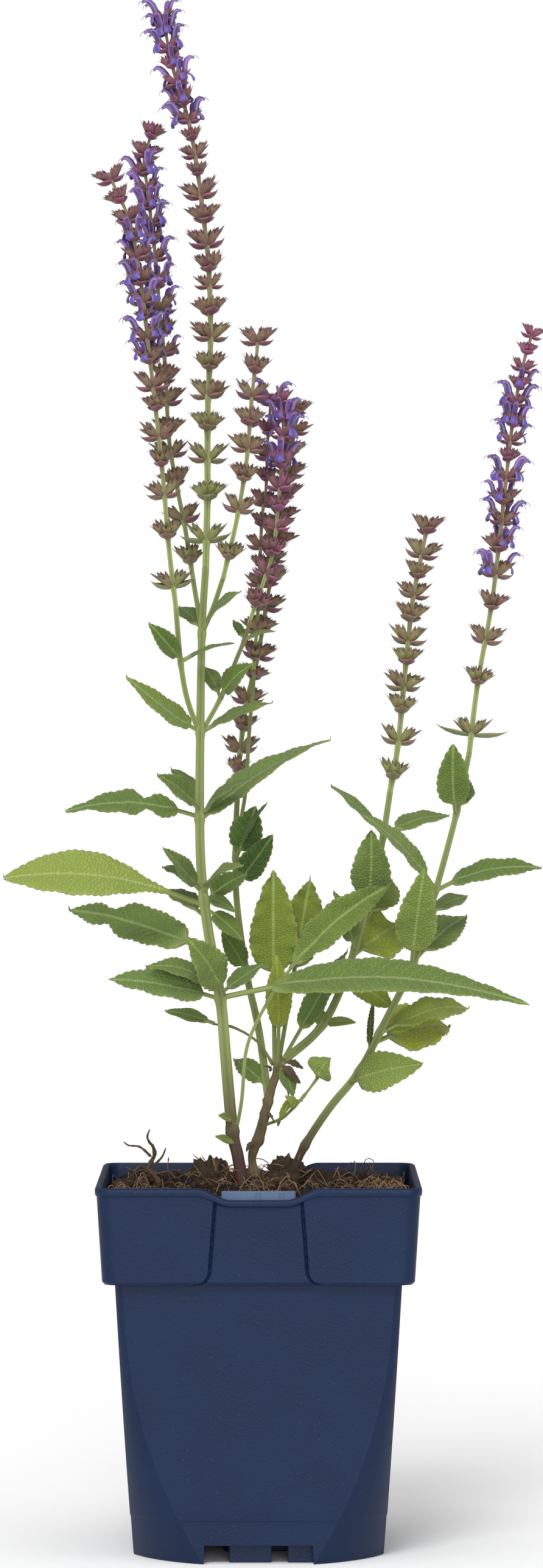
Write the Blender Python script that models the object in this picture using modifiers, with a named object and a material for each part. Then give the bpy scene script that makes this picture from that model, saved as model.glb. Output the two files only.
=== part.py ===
"""Perennial salvia in its square nursery pot, as separate solids.

Z is up, X runs from left to right and Y runs away from the front. The origin is the middle of the
flat foot under the pot's floor. Lengths here are in millimetres, and MM turns them into metres.
"""

import math

import bmesh
import bpy
import numpy as np
from mathutils import Vector

MM = 0.001
GAP = 0.3
SEED = 11

# The pot, an 11 cm square nursery pot with a deep collar.
POT_HEIGHT = 129.0
RIM_HALF = 55.0
COLLAR_FOOT_HALF = 53.0
COLLAR_BOTTOM = 96.0
COLLAR_WALL = 1.8
COLLAR_CORNER = 5.0
BODY_TOP_HALF = 48.75
BODY_FOOT_HALF = 43.25
BODY_WALL = 1.3
BODY_CORNER_TOP = 2.5
BODY_CORNER_FOOT = 24.0
CORNER_STARTS = 85.0
FLOOR_UNDER = 6.8
FLOOR_TOP = 8.2
CORNER_STEPS = 3
BAY_TOP_HALF = 15.2
BAY_FOOT_HALF = 17.0
BAY_CORNER = 4.4
BAY_DEPTH = 0.8
LIP_DIP = 4.0
LIP_SHOULDER = 6.0
NOTCH_HALF = 18.2
NOTCH_SPREAD = 1.3
NOTCH_HEIGHT = 6.3
FOOT_HALF = 12.0
RIB_THICK = 1.4
DRAIN_RADIUS = 4.0
DRAIN_RING = 29.0
TAB_HALF = 12.6
TAB_TOP = 128.0

# The soil, a little under the rim.
SOIL_TOP = 125.0
SOIL_SIDE_TOP = 122.5
CLODS = (((-16.5, -17.0, 128.5), (6.2, 5.3, 7.8)), ((9.5, -15.0, 128.5), (6.4, 5.8, 8.4)))
TWIG = ((-34, -6, 122), (-35, -7, 128), (-38, -8, 132), (-36, -9, 137), (-37, -10, 141))

# Stems: points along the middle, then the half widths at the two ends.
MAIN_STEMS = {
    "main": (
        ((-5.3, -8, 105), (-5.3, -8, 123), (-7.2, -8, 136), (-9.1, -8, 145), (-11.4, -7, 170),
         (-13.3, -6, 191), (-17.5, -4, 214), (-19.8, -3, 233), (-20.5, -2, 253), (-20.3, 0, 283),
         (-19.7, 0, 318), (-18.4, 0, 340)),
        2.4, 1.3,
    ),
    "left": (((-20.3, 0, 282), (-24.7, -3, 294), (-27, -6, 307), (-28.6, -9, 325.5)), 1.0, 0.95),
    "back": (((-19.7, 0, 317), (-21.2, 3, 326), (-22.9, 6, 336)), 0.9, 0.9),
    "middle": (((-19.7, 0, 317), (-15.8, -4, 326), (-12, -8, 337)), 0.9, 0.9),
    "purple": (
        ((-20.3, 0, 282), (-13.1, 1, 295), (-7.4, 0, 309), (-4.9, 0, 315), (-2.8, 0, 322)),
        0.9, 0.75,
    ),
    "petiole": (
        ((-8.8, -8, 141), (-6, -10.5, 155), (-4.5, -9, 172), (-1, -7, 182), (5.3, -5, 193),
         (11, -4, 201)),
        0.7, 0.6,
    ),
}
REAR_STEMS = {
    "trunk": (
        ((-1.5, 6, 105), (-1.5, 6, 126), (-2.4, 6, 135), (0, 6, 141.5), (3.1, 6, 154),
         (6.3, 6, 165), (8.5, 6, 169.5)),
        2.5, 1.7,
    ),
    "tall": (
        ((3.2, 6.5, 156), (-0.1, 14, 179), (-4.3, 19, 198), (-7.8, 23, 223.5), (-8.2, 25, 245),
         (-7.4, 26, 264)),
        1.5, 1.0,
    ),
    "thin": (
        ((-8.2, 25, 243), (-5.6, 18, 256), (-4.5, 14, 264), (-3.3, 14, 284), (-2, 16, 298),
         (-1.8, 17, 304.6)),
        0.75, 0.7,
    ),
    "right": (
        ((7.4, 6, 167.5), (21.2, 9, 179.5), (29.7, 11, 196), (37.1, 12, 220), (42.4, 12, 241),
         (45.8, 12, 262)),
        1.6, 1.1,
    ),
    "short": (((5, 6, 167), (-0.5, 6, 175), (-9, 8, 180), (-16, 9, 181)), 0.7, 0.5),
    "shoot": (
        ((1.5, 6, 146), (4.5, 4, 147), (8.5, 2, 149), (12.5, 0, 153), (16, 0, 157),
         (20.5, 0, 163)),
        0.8, 0.6,
    ),
}
RIGHT_STEMS = {
    "main": (
        ((10, 6, 105), (10, 6, 124), (12, 6, 130), (16.3, 5, 139.5), (24.5, 4, 152),
         (34.9, 3, 165), (43.7, 2, 182), (53.8, 0, 203), (61.3, -3, 228), (68.5, -4, 255),
         (72.9, -4, 276)),
        1.6, 1.0,
    ),
}

# Leaves: base point, tip point, width, tilt towards the front in degrees, arch, and for some of them
# the petiole's share of the length.
MAIN_LEAVES = (
    ((-19, -1, 318.5), (-6, -13, 332), 8, 35, 2),
    ((-20, 1, 318.5), (-28, 15, 327), 7, 40, 1),
    ((-27, -7, 307.5), (-38, -13, 321), 7.5, 60, 2),
    ((-26.5, -6, 307.5), (-8, -14, 314), 6, 20, 1),
    ((-5, 0, 315), (-9, 5, 322), 3.5, 60, 0.5),
    ((-4.5, 0, 315), (6, -6, 318), 4, 40, 1),
    ((-13, 0, 295), (-2, -9, 307), 8.5, 60, 2),
    ((-13.5, 2, 295), (-19, 13, 306), 6, 50, 1),
    ((-20.5, 0, 283), (-46, -8, 303), 9, 45, 3),
    ((-19.5, 0, 283), (5, -12, 294), 9, 30, 3),
    ((-21, -2, 253.5), (-67, -14, 257), 12.5, 55, 5),
    ((-21, -3, 256), (-35, -19, 269), 8.5, 55, 1),
    ((-20, 0, 255), (-31, 22, 271), 7, 20, 2),
    ((-19.5, -2, 253), (25, -8, 282), 13, 40, 2, 0.06),
    ((-19, -3, 255), (-1, -24, 268), 10, 45, 2, 0.1),
    ((-19.5, -4, 223), (-88, -20, 235), 18, 60, 7),
    ((-20.5, -4, 228.5), (-33, -20, 244), 8, 60, 1),
    ((-20, -2, 227.5), (-34, 22, 236), 8, 15, 2),
    ((-19, -3, 219), (-34, 28, 228), 9, 25, 2),
    ((-19, -4, 227.5), (-5, -26, 238), 9.5, 45, 2),
    ((-18.5, -3, 224), (-4, 6, 234), 8, 55, 2),
    ((-18, -4, 225.5), (-8, -11, 221), 5, 60, 1),
    ((-18, -4, 221.5), (-5, -9, 211), 7, 60, 1),
    ((-16.5, -4, 206.5), (-67, 27, 222), 15, 55, 3),
    ((-14, -6, 192.5), (-39, -18, 203), 9, 45, 2),
    ((-13.5, -6, 190.5), (-52, -17, 199), 12, 55, 3),
    ((-12, -7.5, 191.5), (-25, -28, 214), 13, 65, 3, 0.2),
    ((-13, -5, 192.5), (2, 0, 203), 7, 50, 1),
    ((-13, -7, 191), (93, -32, 193), 21, 32, 7),
    ((-9.5, -9, 148.5), (-14, -14, 151), 3.5, 60, 0.5),
    ((-8.5, -9, 140.5), (-15, -15, 144), 3, 60, 0.5),
    ((10.5, -4, 200.5), (45, 1, 231), 13, 50, 3, 0.06),
)
REAR_LEAVES = (
    ((5.5, 6, 167), (5, 4, 235), 17, 85, 1, 0.48),
    ((7, 7, 168), (18, 22, 233), 15, 60, 2, 0.5),
    ((8, 6, 168), (31, 8, 208), 9, 50, 2, 0.3),
    ((33.5, 10.8, 206.5), (26, 4.5, 228), 8, 60, 1),
    ((38, 11.5, 222), (39, 3, 249), 14, 80, 2),
    ((30, 11, 196.5), (47, 4, 187), 9, 70, 2),
    ((37.5, 12.5, 218), (47, 30, 231), 13, 60, 1),
    ((33, 11.5, 205), (50, 30, 216), 20, 65, 1),
    ((6.5, 5, 167), (6, 0, 206), 9, 75, 1, 0.35),
    ((-8, 24.5, 238.5), (-1, 18, 257), 12, 80, 1),
    ((-8, 24, 229), (5, 14, 247), 10, 75, 1),
    ((-8, 25, 240.5), (3, 12, 259), 4, 45, 1),
    ((-4.5, 19.5, 199), (-13, 16, 213), 8, 75, 1),
    ((43, 11.5, 247.5), (25, 6, 265), 6, 35, 1),
    ((44, 12, 247), (67, 24, 254), 9, 35, 2),
    ((2.5, 8, 159.5), (-9, 14, 169), 8, 70, 1),
    ((-15, 9, 181), (-33, 13, 186), 6, 40, 1),
    ((20, 0, 162.5), (25, -3, 170), 11, 60, 1),
    ((12.5, 0.5, 152.5), (9, -4, 157), 5, 60, 1),
    ((22, 9.5, 180.5), (19, 6, 188), 5, 60, 1),
    ((22.5, 9.5, 181), (34, 6, 182), 5, 50, 1),
    ((8, 5.5, 168.5), (12, 1, 156), 6, 60, 1),
)
RIGHT_LEAVES = (
    ((68, -4.5, 254.5), (67, -14, 279), 12, 80, 2),
    ((69, -4, 255.5), (73, 10, 267), 8, 40, 1),
    ((61.5, -3, 228), (98, -10, 237), 11, 35, 4),
    ((61, -3.5, 228.5), (35, -13, 256), 9, 40, 3),
    ((53, -0.5, 202), (57, -16, 236), 14.5, 80, 2),
    ((54.5, 0.5, 204), (73, 22, 219), 13, 60, 2),
    ((59, -2, 220), (73, 16, 226), 7, 40, 1),
    ((42, 2.5, 178), (74, 22, 187), 12, 35, 4),
    ((40.5, 3, 175), (67, 28, 180), 20, 65, 2),
    ((38.5, 3, 171.5), (40, 8, 190), 2.5, 60, 0),
    ((31, 3.5, 160.5), (57, -8, 169), 14, 65, 4),
)

# Flower spikes: points along the rachis, its half widths, the whorls' heights from the foot up,
# and the heights between which the flowers are open.
SPIKES = {
    "spike_tall": (
        ((-18.4, 0, 340.3), (-17.8, 0, 364), (-17.8, 0, 377), (-17.6, 0, 398), (-16.7, 0, 419),
         (-17.3, 0, 443), (-19, 0, 460), (-21.8, 0, 481), (-24.7, 0, 496), (-28.5, 0, 508),
         (-31.1, 0, 519), (-33.2, 0, 531.5)),
        1.3, 0.5,
        (349, 364, 377, 388, 399, 409, 419, 428, 437, 443, 451, 460, 468, 476, 482, 488, 494, 500,
         507, 513, 519, 525, 529.5),
        (493, 530), 6.3,
    ),
    "spike_left": (
        ((-28.6, -9, 325.8), (-30.9, -12, 346), (-33.1, -14, 372), (-36.2, -16, 401),
         (-38.1, -17, 417), (-40.2, -18, 436), (-43.9, -18, 457), (-48.5, -18, 468),
         (-51.7, -18, 475)),
        0.95, 0.5,
        (333, 350, 364, 375, 384, 394, 401, 410, 418, 425, 430, 437, 445, 452, 458, 465, 472),
        (409, 453), 6.0,
    ),
    "spike_back": (
        ((-22.9, 6, 336.3), (-25.9, 9, 355), (-28.5, 10, 368), (-31.3, 10, 385), (-32.7, 10, 411),
         (-34.4, 10, 428), (-36.1, 10, 449), (-39.1, 10, 474), (-40, 10, 481), (-37.2, 10, 492)),
        0.9, 0.5,
        (342, 356, 369, 379, 387, 397, 405, 414, 421, 429, 438, 447, 453, 459, 465, 471, 477, 483,
         490),
        (413, 478), 6.0,
    ),
    "spike_middle": (
        ((-12, -8, 337.3), (-7.4, -10, 357), (-4, -11, 378), (-2.5, -11, 397), (-0.6, -10, 414),
         (-0.6, -10, 419)),
        0.9, 0.6,
        (343, 359, 370, 380, 389, 398, 407, 417), (0, 0), 5.8,
    ),
    "spike_purple": (
        ((-2.8, 0, 322.3), (1, 0, 333), (4.8, 0, 345), (6.5, 0, 359), (7.8, 1, 376), (8.4, 2, 391),
         (6.3, 2, 403)),
        0.75, 0.5,
        (327, 337, 345, 353, 360, 367, 375, 385, 391, 397), (374, 392), 5.8,
    ),
    "spike_thin": (
        ((-1.8, 17, 304.9), (-0.3, 15, 326), (1, 15, 356), (2.5, 15, 368), (3.1, 15, 385),
         (4.4, 15, 400)),
        0.7, 0.5,
        (309, 318, 326, 334, 341, 347, 355, 362, 371, 378, 387, 397), (396, 398), 5.2,
    ),
    "spike_rear": (
        ((-7.4, 26, 264.3), (-6.9, 27, 273), (-4.4, 28, 293), (-0.5, 29, 309), (4.2, 30, 337),
         (9.1, 30, 365), (11.3, 30, 380), (14.3, 30, 399)),
        1.0, 0.5,
        (269, 276, 284, 293, 302, 309, 319, 326, 335, 343, 349, 358, 365, 373, 381, 388, 395),
        (0, 0), 5.8,
    ),
    "spike_green": (
        ((45.8, 12, 262.3), (48.6, 12, 279), (51.3, 12, 307), (53.7, 12, 329), (56.2, 12, 342),
         (58.8, 12, 355)),
        1.1, 0.7,
        (267, 279, 290, 298, 307, 314, 322, 330, 337, 344, 352.5), (0, 0), 6.2,
    ),
    "spike_right": (
        ((72.9, -4, 276.3), (75.8, -4, 300), (80.7, -4, 328), (84.1, -4, 357), (87.8, -4, 390),
         (91.2, -4, 409), (94.6, -4, 421)),
        1.0, 0.5,
        (282, 300, 314, 326, 337, 346, 355, 362, 370, 377, 383, 389, 396, 402, 408, 414, 419.5),
        (336, 403), 5.8,
    ),
}


# The lowest ring of these spikes has longer, leafy bracts at its sides, of this reach.
LEAFY_FEET = {"spike_tall": 8.9, "spike_left": 7.8, "spike_right": 12.5}


def clear_scene():
    for old in list(bpy.data.objects):
        bpy.data.objects.remove(old, do_unlink=True)


def make_collection(name, hidden):
    made = bpy.data.collections.new(name)
    made.hide_render = hidden
    bpy.context.scene.collection.children.link(made)
    return made


def make_material(name, colour, roughness):
    """A plain surface of one colour."""
    made = bpy.data.materials.new(name)
    made.use_nodes = True
    shader = made.node_tree.nodes["Principled BSDF"]
    shader.inputs["Base Color"].default_value = (*colour, 1.0)
    shader.inputs["Roughness"].default_value = roughness
    shader.inputs["Metallic"].default_value = 0.0
    made.diffuse_color = (*colour, 1.0)
    return made


def object_from(name, bm, collection, material=None):
    """The bmesh, drawn in millimetres, as an object in metres."""
    bmesh.ops.scale(bm, vec=(MM, MM, MM), verts=bm.verts)
    mesh = bpy.data.meshes.new(name)
    bm.to_mesh(mesh)
    bm.free()
    made = bpy.data.objects.new(name, mesh)
    collection.objects.link(made)
    if material:
        mesh.materials.append(material)
    return made


def evaluated_mesh(source):
    graph = bpy.context.evaluated_depsgraph_get()
    return bpy.data.meshes.new_from_object(source.evaluated_get(graph))


def boolean(target, operation, helpers, solver="EXACT"):
    """One Boolean with all the helper solids, applied. The helpers are then removed."""
    group = make_collection(f"{target.name}_{operation.lower()}", True)
    for helper in helpers:
        for old in list(helper.users_collection):
            old.objects.unlink(helper)
        group.objects.link(helper)
        helper.hide_render = True
        helper.display_type = "WIRE"
    modifier = target.modifiers.new("join", "BOOLEAN")
    modifier.operation = operation
    modifier.operand_type = "COLLECTION"
    modifier.collection = group
    modifier.solver = solver
    bpy.context.view_layer.update()
    result = evaluated_mesh(target)
    target.modifiers.clear()
    target.data = result
    for helper in helpers:
        bpy.data.objects.remove(helper, do_unlink=True)
    bpy.data.collections.remove(group)


def rounded_square(half, radius, z):
    """Ring of points round a square with arcs at its corners, anticlockwise from above."""
    ring = []
    for quarter in range(4):
        middle = (quarter + 0.5) * math.pi / 2
        cx = math.copysign(half - radius, math.cos(middle))
        cy = math.copysign(half - radius, math.sin(middle))
        for step in range(CORNER_STEPS + 1):
            angle = (quarter + step / CORNER_STEPS) * math.pi / 2
            ring.append((cx + radius * math.cos(angle), cy + radius * math.sin(angle), z))
    return ring


def loft(bm, rings):
    """Joins each ring of points to the next with a band of faces, and closes both ends."""
    rows = [[bm.verts.new(point) for point in ring] for ring in rings]
    for low, high in zip(rows, rows[1:]):
        for k in range(len(low)):
            bm.faces.new((low[k - 1], low[k], high[k], high[k - 1]))
    bm.faces.new(rows[0][::-1])
    bm.faces.new(rows[-1])
    return rows


def box(name, low, high, collection):
    """A block between two corners."""
    bm = bmesh.new()
    bmesh.ops.create_cube(bm, size=1.0)
    bmesh.ops.scale(bm, vec=[b - a for a, b in zip(low, high)], verts=bm.verts)
    bmesh.ops.translate(bm, vec=[(a + b) / 2 for a, b in zip(low, high)], verts=bm.verts)
    return object_from(name, bm, collection)


def cylinder(name, centre, radius, low, high, collection, sides=8):
    bm = bmesh.new()
    bmesh.ops.create_cone(
        bm, cap_ends=True, segments=sides, radius1=radius, radius2=radius, depth=high - low
    )
    bmesh.ops.translate(bm, vec=(centre[0], centre[1], (low + high) / 2), verts=bm.verts)
    return object_from(name, bm, collection)


def body_half(z):
    return BODY_FOOT_HALF + (BODY_TOP_HALF - BODY_FOOT_HALF) * z / COLLAR_BOTTOM


def body_corner(z):
    """The body's corners are tight at the top and widen to big arcs at the foot."""
    fall = max(0.0, 1.0 - z / CORNER_STARTS)
    return BODY_CORNER_TOP + (BODY_CORNER_FOOT - BODY_CORNER_TOP) * fall ** 2.1


def collar_half(z):
    share = (z - COLLAR_BOTTOM) / (POT_HEIGHT - COLLAR_BOTTOM)
    return COLLAR_FOOT_HALF + (RIM_HALF - COLLAR_FOOT_HALF) * share


def body_ring(z, inset=0.0):
    return rounded_square(body_half(z) - inset, max(body_corner(z) - inset, 0.8), z)


def collar_ring(z, inset=0.0):
    return rounded_square(collar_half(z) - inset, COLLAR_CORNER - inset * 0.8, z)


def prism(name, outline, depth_of, outer, collection):
    """A slab whose face has this outline of X and Z, from depth_of(z) out to the outer depth."""
    bm = bmesh.new()
    inner = [bm.verts.new((x, -depth_of(z), z)) for x, z in outline]
    front = [bm.verts.new((x, -outer, z)) for x, z in outline]
    for k in range(len(outline)):
        bm.faces.new((inner[k - 1], inner[k], front[k], front[k - 1]))
    bm.faces.new(inner[::-1])
    bm.faces.new(front)
    bmesh.ops.recalc_face_normals(bm, faces=bm.faces)
    return object_from(name, bm, collection)


def bay_outline():
    """The shallow bay between the collar's two flaps, with quarter turns at its foot."""
    foot, top = COLLAR_BOTTOM - 1.0, POT_HEIGHT - LIP_DIP - 1.6
    outline = [(BAY_TOP_HALF, top), (-BAY_TOP_HALF, top)]
    left = [(-BAY_FOOT_HALF, COLLAR_BOTTOM + BAY_CORNER)]
    for step in (1, 2, 3):
        angle = math.radians(30 * step)
        left.append((
            -BAY_FOOT_HALF - BAY_CORNER * (1 - math.cos(angle)),
            COLLAR_BOTTOM + BAY_CORNER * (1 - math.sin(angle)),
        ))
    left.append((-BAY_FOOT_HALF - BAY_CORNER, foot))
    right = [(-x, z) for x, z in reversed(left)]
    return outline + left + right


def dip_outline():
    """What is cut from the rim over the bay: a shallow dip with curved shoulders."""
    edge = []
    for step in range(9):
        share = step / 8
        x = -(BAY_TOP_HALF + LIP_SHOULDER) + 2 * (BAY_TOP_HALF + LIP_SHOULDER) * share
        reach = min(1.0, (BAY_TOP_HALF + LIP_SHOULDER - abs(x)) / (2 * LIP_SHOULDER))
        edge.append((x, POT_HEIGHT + 0.05 - LIP_DIP * (0.5 - 0.5 * math.cos(math.pi * reach))))
    return edge + [(edge[-1][0], POT_HEIGHT + 2), (edge[0][0], POT_HEIGHT + 2)]


def turned(source, quarter_turns):
    """Turns the helper about the pot's middle in steps of a quarter turn."""
    for vertex in source.data.vertices:
        x, y, z = vertex.co
        for _ in range(quarter_turns):
            x, y = -y, x
        vertex.co = (x, y, z)
    return source


def make_pot(parts, cutters, material):
    """One moulding: tapered body, deep collar with a dipped bay, floor, foot and gutter panels."""
    body_levels = (0.0, 5.0, 14.0, 30.0, 48.0, 68.0, COLLAR_BOTTOM)
    inner_levels = (68.0, 48.0, 30.0, 14.0, FLOOR_TOP)
    ledge = COLLAR_BOTTOM + BODY_WALL
    rings = [body_ring(FLOOR_UNDER, BODY_WALL), body_ring(0.0, BODY_WALL)]
    rings += [body_ring(z) for z in body_levels]
    rings += [collar_ring(COLLAR_BOTTOM), collar_ring(POT_HEIGHT - 0.7)]
    rings += [collar_ring(POT_HEIGHT, 0.6), collar_ring(POT_HEIGHT, COLLAR_WALL - 0.3)]
    rings += [collar_ring(ledge + 1.0, COLLAR_WALL)]
    rings += [rounded_square(body_half(ledge) - BODY_WALL, BODY_CORNER_TOP - 1.0, ledge)]
    rings += [body_ring(z, BODY_WALL) for z in inner_levels]
    bm = bmesh.new()
    loft(bm, rings)
    pot = object_from("pot", bm, parts, material)
    cuts = []
    for quarter in (0, 2):
        bay = prism("bay", bay_outline(), lambda z: collar_half(z) - BAY_DEPTH, 70, cutters)
        dip = prism("dip", dip_outline(), lambda z: RIM_HALF - 8, 70, cutters)
        cuts += [turned(bay, quarter), turned(dip, quarter)]
    notch = [
        (-NOTCH_HALF - NOTCH_SPREAD, -1.0), (NOTCH_HALF + NOTCH_SPREAD, -1.0),
        (NOTCH_HALF, NOTCH_HEIGHT), (-NOTCH_HALF, NOTCH_HEIGHT),
    ]
    for quarter in range(4):
        opening = prism("notch", notch, lambda z: BODY_FOOT_HALF - 6, 50, cutters)
        cuts.append(turned(opening, quarter))
        angle = (quarter + 0.5) * math.pi / 2
        at = (DRAIN_RING * math.cos(angle), DRAIN_RING * math.sin(angle))
        cuts.append(cylinder("drain", at, DRAIN_RADIUS, 5.0, 10.0, cutters))
    boolean(pot, "DIFFERENCE", cuts)
    panel_top = FLOOR_UNDER + 0.4
    added = [
        box("foot", (-FOOT_HALF, -FOOT_HALF, 0), (FOOT_HALF, FOOT_HALF, panel_top), cutters)
    ]
    for quarter in range(4):
        reach = BODY_FOOT_HALF - 4.5
        face = box("panel", (-10, -reach, 0), (4.4, -reach + RIB_THICK, panel_top), cutters)
        side = box("panel", (10, -reach, 0), (19, -reach + RIB_THICK, panel_top), cutters)
        added += [turned(face, quarter), turned(side, quarter)]
    inner_face = collar_half(TAB_TOP) - COLLAR_WALL
    added.append(box(
        "tab", (-TAB_HALF, -inner_face - 0.5, TAB_TOP - 6), (TAB_HALF, -inner_face + 1.2, TAB_TOP),
        cutters,
    ))
    boolean(pot, "UNION", added)
    return pot


def smooth_line(points, count):
    """A smooth curve through the points, as an array of count positions evenly along it."""
    points = np.array(points, float)
    ends = np.vstack([2 * points[0] - points[1], points, 2 * points[-1] - points[-2]])
    dense = []
    for a, b, c, d in zip(ends, ends[1:], ends[2:], ends[3:]):
        for t in np.linspace(0, 1, 16, endpoint=False):
            dense.append(
                0.5 * (2 * b + (c - a) * t + (2 * a - 5 * b + 4 * c - d) * t ** 2
                       + (3 * b - a - 3 * c + d) * t ** 3)
            )
    dense.append(points[-1])
    dense = np.array(dense)
    along = np.concatenate([[0], np.cumsum(np.linalg.norm(np.diff(dense, axis=0), axis=1))])
    places = np.linspace(0, along[-1], count)
    return np.column_stack([np.interp(places, along, dense[:, k]) for k in range(3)])


def unit(vector):
    return vector / np.linalg.norm(vector)


def square_frame(tangent):
    """The directions to the right and to the back across a stem, for faces that look that way."""
    side = np.cross((0.0, 1.0, 0.0), tangent)
    side = unit(side)
    return side, np.cross(tangent, side)


def square_ring(centre, tangent, half):
    side, back = square_frame(tangent)
    signs = ((-1, -1), (1, -1), (1, 1), (-1, 1))
    return [centre + half * (a * side + b * back) for a, b in signs]


def make_stem(name, points, half_foot, half_top, collection, spacing=11.0):
    """A square stem that tapers along its curve."""
    length = np.linalg.norm(np.diff(np.array(points, float), axis=0), axis=1).sum()
    line = smooth_line(points, max(3, round(length / spacing) + 1))
    tangents = np.gradient(line, axis=0)
    halves = np.linspace(half_foot, half_top, len(line))
    rings = [
        square_ring(centre, unit(tangent), half)
        for centre, tangent, half in zip(line, tangents, halves)
    ]
    bm = bmesh.new()
    loft(bm, rings)
    return object_from(name, bm, collection)


def make_leaf(collection, base, tip, width, tilt, arch, petiole=0.16):
    """A blade with scalloped edges on a short petiole, arched along its length.

    The midrib runs from base to tip and rises by the arch in between. The tilt turns the upper
    face from straight up, at 0, to the front, at 90.
    """
    base, tip = np.array(base, float), np.array(tip, float)
    run = tip - base
    tangent = unit(run)
    facing = np.array((0.0, -math.sin(math.radians(tilt)), math.cos(math.radians(tilt))))
    normal = unit(facing - facing.dot(tangent) * tangent)
    across = np.cross(normal, tangent)
    steps = 7 if width >= 13 else 6 if width >= 8 else 5 if width >= 5 else 4
    bm = bmesh.new()
    rows = []
    for step in range(steps):
        share = step / steps
        middle = base + run * share + normal * arch * math.sin(math.pi * share)
        blade = max(0.0, (share - petiole) / (1 - petiole))
        half = 0.45 + width / 2 * math.sin(math.pi * blade ** 0.8) ** 0.85
        half *= 1.0 if step % 2 else 0.86
        lift = normal * half * 0.28
        row = [middle - across * half + lift, middle, middle + across * half + lift]
        rows.append([bm.verts.new(point) for point in row])
    point = bm.verts.new(tip)
    for low, high in zip(rows, rows[1:]):
        bm.faces.new((low[0], low[1], high[1]))
        bm.faces.new((low[0], high[1], high[0]))
        bm.faces.new((low[1], low[2], high[2]))
        bm.faces.new((low[1], high[2], high[1]))
    bm.faces.new((rows[-1][0], rows[-1][1], point))
    bm.faces.new((rows[-1][1], rows[-1][2], point))
    leaf = object_from("leaf", bm, collection)
    shell = leaf.modifiers.new("thickness", "SOLIDIFY")
    shell.thickness = 0.7 * MM
    shell.offset = 0.0
    shell.use_even_offset = False
    bpy.context.view_layer.update()
    thick = evaluated_mesh(leaf)
    leaf.modifiers.clear()
    leaf.data = thick
    return leaf


def make_leafy_stem(name, stems, leaves, parts, cutters, material):
    """Square stems and their leaves, grown together as one body."""
    pieces = [
        make_stem(f"{name}_{label}", points, foot, top, cutters)
        for label, (points, foot, top) in stems.items()
    ]
    pieces += [make_leaf(cutters, *leaf) for leaf in leaves]
    first = pieces.pop(0)
    first.name = name
    cutters.objects.unlink(first)
    parts.objects.link(first)
    first.hide_render = False
    boolean(first, "UNION", pieces, "MANIFOLD")
    first.data.materials.clear()
    first.data.materials.append(material)
    return first


def draw_out(bm, ring, targets, open_side=None):
    """Draws a four-sided face out to a new place, and returns its new corners."""
    new = [bm.verts.new(point) for point in targets]
    for k in range(4):
        if k != open_side:
            bm.faces.new((ring[k], ring[(k + 1) % 4], new[(k + 1) % 4], new[k]))
    return new


def close_to_point(bm, ring, point):
    tip = bm.verts.new(point)
    for k in range(4):
        bm.faces.new((ring[k], ring[(k + 1) % 4], tip))


def centre_of(ring):
    return sum(np.array(corner.co) for corner in ring) / 4


def spread(middle, side, up, wide_low, wide_high, tall, lean):
    """Corners of a mouth: two low ones and two high ones, with the low pair led on by lean."""
    return [
        middle - side * wide_low - up * tall + lean,
        middle + side * wide_low - up * tall + lean,
        middle + side * wide_high + up * tall,
        middle - side * wide_high + up * tall,
    ]


def make_bract(bm, ring, outward, tangent, size, reach):
    """A pointed bract under the whorl, flat above and with a keel below."""
    side = unit(np.cross(tangent, outward))
    rise = math.radians(16)
    along = outward * math.cos(rise) + tangent * math.sin(rise)
    up = tangent * math.cos(rise) - outward * math.sin(rise)
    root = centre_of(ring)
    widest = root + along * reach * 0.45
    left = bm.verts.new(widest - side * 2.5 * size)
    right = bm.verts.new(widest + side * 2.5 * size)
    keel = bm.verts.new(widest - up * 0.75)
    tip = bm.verts.new(root + along * reach + up * 0.8 * size)
    foot_left, foot_right, top_right, top_left = ring
    for face in (
        (top_left, top_right, right, left), (left, right, tip), (foot_left, top_left, left),
        (foot_right, right, top_right), (foot_left, left, keel), (foot_right, keel, right),
        (foot_left, keel, foot_right), (left, tip, keel), (keel, tip, right),
    ):
        bm.faces.new(face[::-1])


def make_calyx(bm, ring, outward, tangent, size, reach, flower):
    """A bell with two lips. An open flower stands out of it, with a hood above and a lip below."""
    side = unit(np.cross(tangent, outward))
    rise = math.radians(42)
    along = outward * math.cos(rise) + tangent * math.sin(rise)
    up = tangent * math.cos(rise) - outward * math.sin(rise)
    root = centre_of(ring)
    mouth_at = root + along * reach
    corners = spread(
        mouth_at, side, up, 1.9 * size, 1.4 * size, 1.5 * size, along * 0.9 * size
    )
    if not flower:
        foot_left, foot_right, top_right, top_left = ring
        low_left, low_right = bm.verts.new(corners[0]), bm.verts.new(corners[1])
        crest = bm.verts.new((corners[2] + corners[3]) / 2 + up * 0.4 * size)
        for face in (
            (foot_left, foot_right, low_right, low_left), (foot_right, top_right, crest, low_right),
            (top_right, top_left, crest), (top_left, foot_left, low_left, crest),
            (low_left, low_right, crest),
        ):
            bm.faces.new(face)
        return
    mouth = draw_out(bm, ring, corners)
    hood_at = mouth_at + along * 2.8 + tangent * 1.6
    hood = draw_out(bm, mouth, spread(hood_at, side, up, 0.9, 0.7, 1.0, 0), open_side=0)
    close_to_point(bm, hood, hood_at + outward * 2.6 + tangent * 1.0)
    lip_ring = [mouth[0], mouth[1], hood[1], hood[0]]
    hang = mouth_at + outward * 2.6 - tangent * 2.2
    lip = draw_out(bm, lip_ring, [
        hang - side * 1.7, hang + side * 1.7,
        hang + side * 1.7 + outward * 0.8 + tangent * 0.3,
        hang - side * 1.7 + outward * 0.8 + tangent * 0.3,
    ])
    bm.faces.new(lip)


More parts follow.
